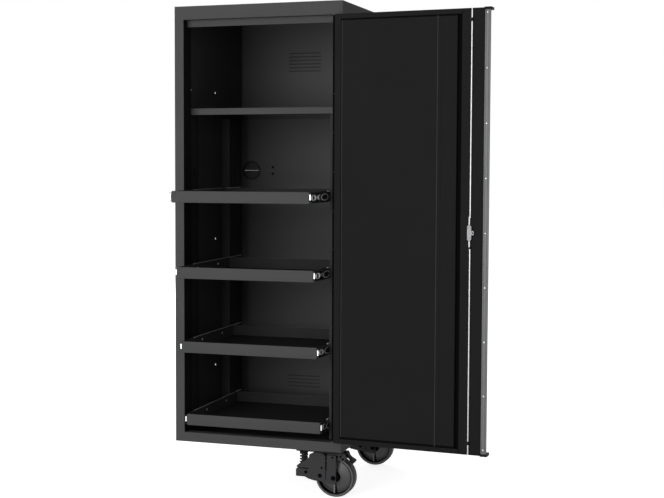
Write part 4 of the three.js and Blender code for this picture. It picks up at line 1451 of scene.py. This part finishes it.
    def plate_bolts(self) -> None:
        """The four hexagon heads that hold the top plate to the cabinet, and the ball race's cup under it."""
        level = self.plate_under
        x, y = self.plate_bolt
        depth = [level + end for end in self.plate_bolt_depth]
        heads = [
            extrude(hexagon((a * x, b * y), self.nut_width), *depth, Plane.XY)
            for a in SENSES
            for b in SENSES
        ]
        self.add("plate_bolts", heads, "caster_black", "cabinet", (), self.fine_edge)
        inner, edge, outer = self.race
        side, under = (level - depth for depth in self.race_depth)
        cup = [(inner, level), (outer, level), (outer, side), (edge, under), (inner, under)]
        race = lathe(filleted(cup, 1), 64, Z, (0, 0, 0), True)
        self.add("race_cup", race, "caster_black", "cabinet")

    def pedal(self) -> None:
        """The brake pedal: a cranked block with grip ridges across its sloping face."""
        (x, z), half = self.hinge, self.pedal_half
        line = np.add(self.hinge, self.pedal_neck)
        neck = extrude(folded(line, *self.pedal_sheet), -half / 2, half / 2, Plane.XZ)
        hinge = rod(self.pedal_hinge, -half, half, 20, Y, (x, 0, z))
        run = np.array([math.cos(self.pedal_tilt), math.sin(self.pedal_tilt)])
        side = np.array([-run[1], run[0]])
        middle = np.add(self.hinge, self.pedal_shoe)
        shoe = filleted([middle + a * run + b * side for a, b in self.shoe_corners], 2)
        top, reach = self.shoe_corners[0][1], self.ridge_share * half
        along = np.linspace(-self.ridge_span, self.ridge_span, self.ridges)
        slope = [middle + a * run + top * side for a in along]
        ridges = [rod(self.ridge_radius, -reach, reach, 12, Y, (px, 0, pz)) for px, pz in slope]
        shapes = [neck, hinge, extrude(shoe, -half, half, Plane.XZ), *ridges]
        self.add("brake_pedal", shapes, "plastic", "brake", ["brake"], self.pedal_edge)
        self.rivets("bracket_rivets", [(56, -30), (70, -29), (79, -38)], self.ear[1], "swivel")

    def build(self) -> None:
        """Makes all of this caster's pieces."""
        self.yoke()
        self.arm()
        self.pull_bolt()
        self.wheel()
        self.spring()
        self.plate_bolts()
        if self.where is Place.FRONT:
            self.pedal()


# Studio


@dataclass
class Studio:
    """The pale floor and backdrop, the soft lamps and the camera."""

    lens_pixels: float = 1380.8
    centre_pixel: tuple[float, float] = (247.2, 249.0)
    sensor: float = 36
    far: float = 100
    yaw: float = math.radians(19.925)
    pitch: float = math.radians(3.746)
    eye: Lengths = (2055.9, -4864.7, 1086.6)
    ambient: float = 0.31
    floor_reach: float = 30.0
    floor_grain: float = 0.4
    floor_tints: tuple[float, float] = (0.8, 0.82)
    floor_glow: float = 0.8

    def camera(self) -> None:
        """A camera at the photograph's angle, with its lens and shift worked out from pixels."""
        data = bpy.data.cameras.new("camera")
        data.sensor_width = self.sensor
        data.lens = self.lens_pixels * self.sensor / IMAGE_WIDTH
        data.shift_x = (IMAGE_WIDTH / 2 - self.centre_pixel[0]) / IMAGE_WIDTH
        data.shift_y = (self.centre_pixel[1] - IMAGE_HEIGHT / 2) / IMAGE_WIDTH
        data.clip_end = self.far
        made = linked("camera", data)
        low, _ = corners("face_frame")
        made.location = Vector(MM * (low + self.eye))
        made.rotation_euler = (math.pi / 2 - self.pitch, 0, self.yaw)
        bpy.context.scene.camera = made

    def floor(self) -> None:
        """A wide pale floor under the wheels, which keeps a soft shadow."""
        span = np.linspace(-self.floor_reach, self.floor_reach, 3)
        across, along = np.meshgrid(span, span, indexing="ij")
        level = np.full_like(across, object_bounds()[0].z)
        mesh = mesh_of("floor", grid(np.stack([across, along, level], axis=-1)))
        made = linked("floor", mesh)
        shader = Shader("pale_floor")
        shader.set(Roughness=1.0, Specular_IOR_Level=0.0, Emission_Color=(1, 1, 1, 1))
        first, second = (grey(tint, tint) for tint in self.floor_tints)
        tint = shader.between(shader.noise(self.floor_grain), first, second)
        shader.set(Base_Color=tint, Emission_Strength=shader.seen(0.0, self.floor_glow))
        mesh.materials.append(shader.material)
        made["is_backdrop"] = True

    def world(self) -> None:
        """A white surround that lights the object at a lower level than it shows."""
        world = bpy.data.worlds.new("studio")
        world.use_nodes = True
        bpy.context.scene.world = world
        nodes = Nodes(world.node_tree)
        values = {"Color": (1, 1, 1, 1), "Strength": nodes.seen(self.ambient, 1.0)}
        nodes.fill(nodes.tree.nodes["Background"], values)

    def lamp(self, name: str, at: Lengths, aim: Lengths, size: float, power: float) -> None:
        """One soft square lamp.

        Args:
            name: Its name.
            at: Its place.
            aim: The point that it faces.
            size: Its side.
            power: Its power in watts.
        """
        data = bpy.data.lights.new(name, "AREA")
        data.size = size
        data.energy = power
        made = linked(name, data)
        made.location = at
        made.rotation_euler = (Vector(aim) - Vector(at)).to_track_quat("-Z", "Y").to_euler()

    def build(self) -> None:
        """Sets up the whole studio."""
        bpy.context.scene.view_settings.view_transform = "Standard"
        self.camera()
        self.floor()
        self.world()
        self.lamp("key", (-1.25, -6.65, 0.3), (0.4, 0.0, 0.0), 3.8, 322)
        self.lamp("fill", (2.4, -5.6, 0.9), (0.2, 0.2, 0.0), 1.6, 16)
        self.lamp("side", (6.0, 2.0, 1.2), (0.66, 0.0, 0.0), 3.0, 5)
        self.lamp("rear", (-4.5, 6.0, 2.4), (0.2, 0.2, 0.0), 4.0, 260)


def main() -> None:
    """Builds the studio and every sub-assembly in order."""
    logging.basicConfig(level=logging.INFO, format="%(name)s: %(message)s")
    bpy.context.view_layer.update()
    Studio().build()
    dress_nodes()
    Cabinet().build()
    for number in TRAY_NUMBERS:
        Tray(number).build()
    Door().build()
    for where in Place:
        Caster(where).build()


if __name__ == "__main__":
    main()
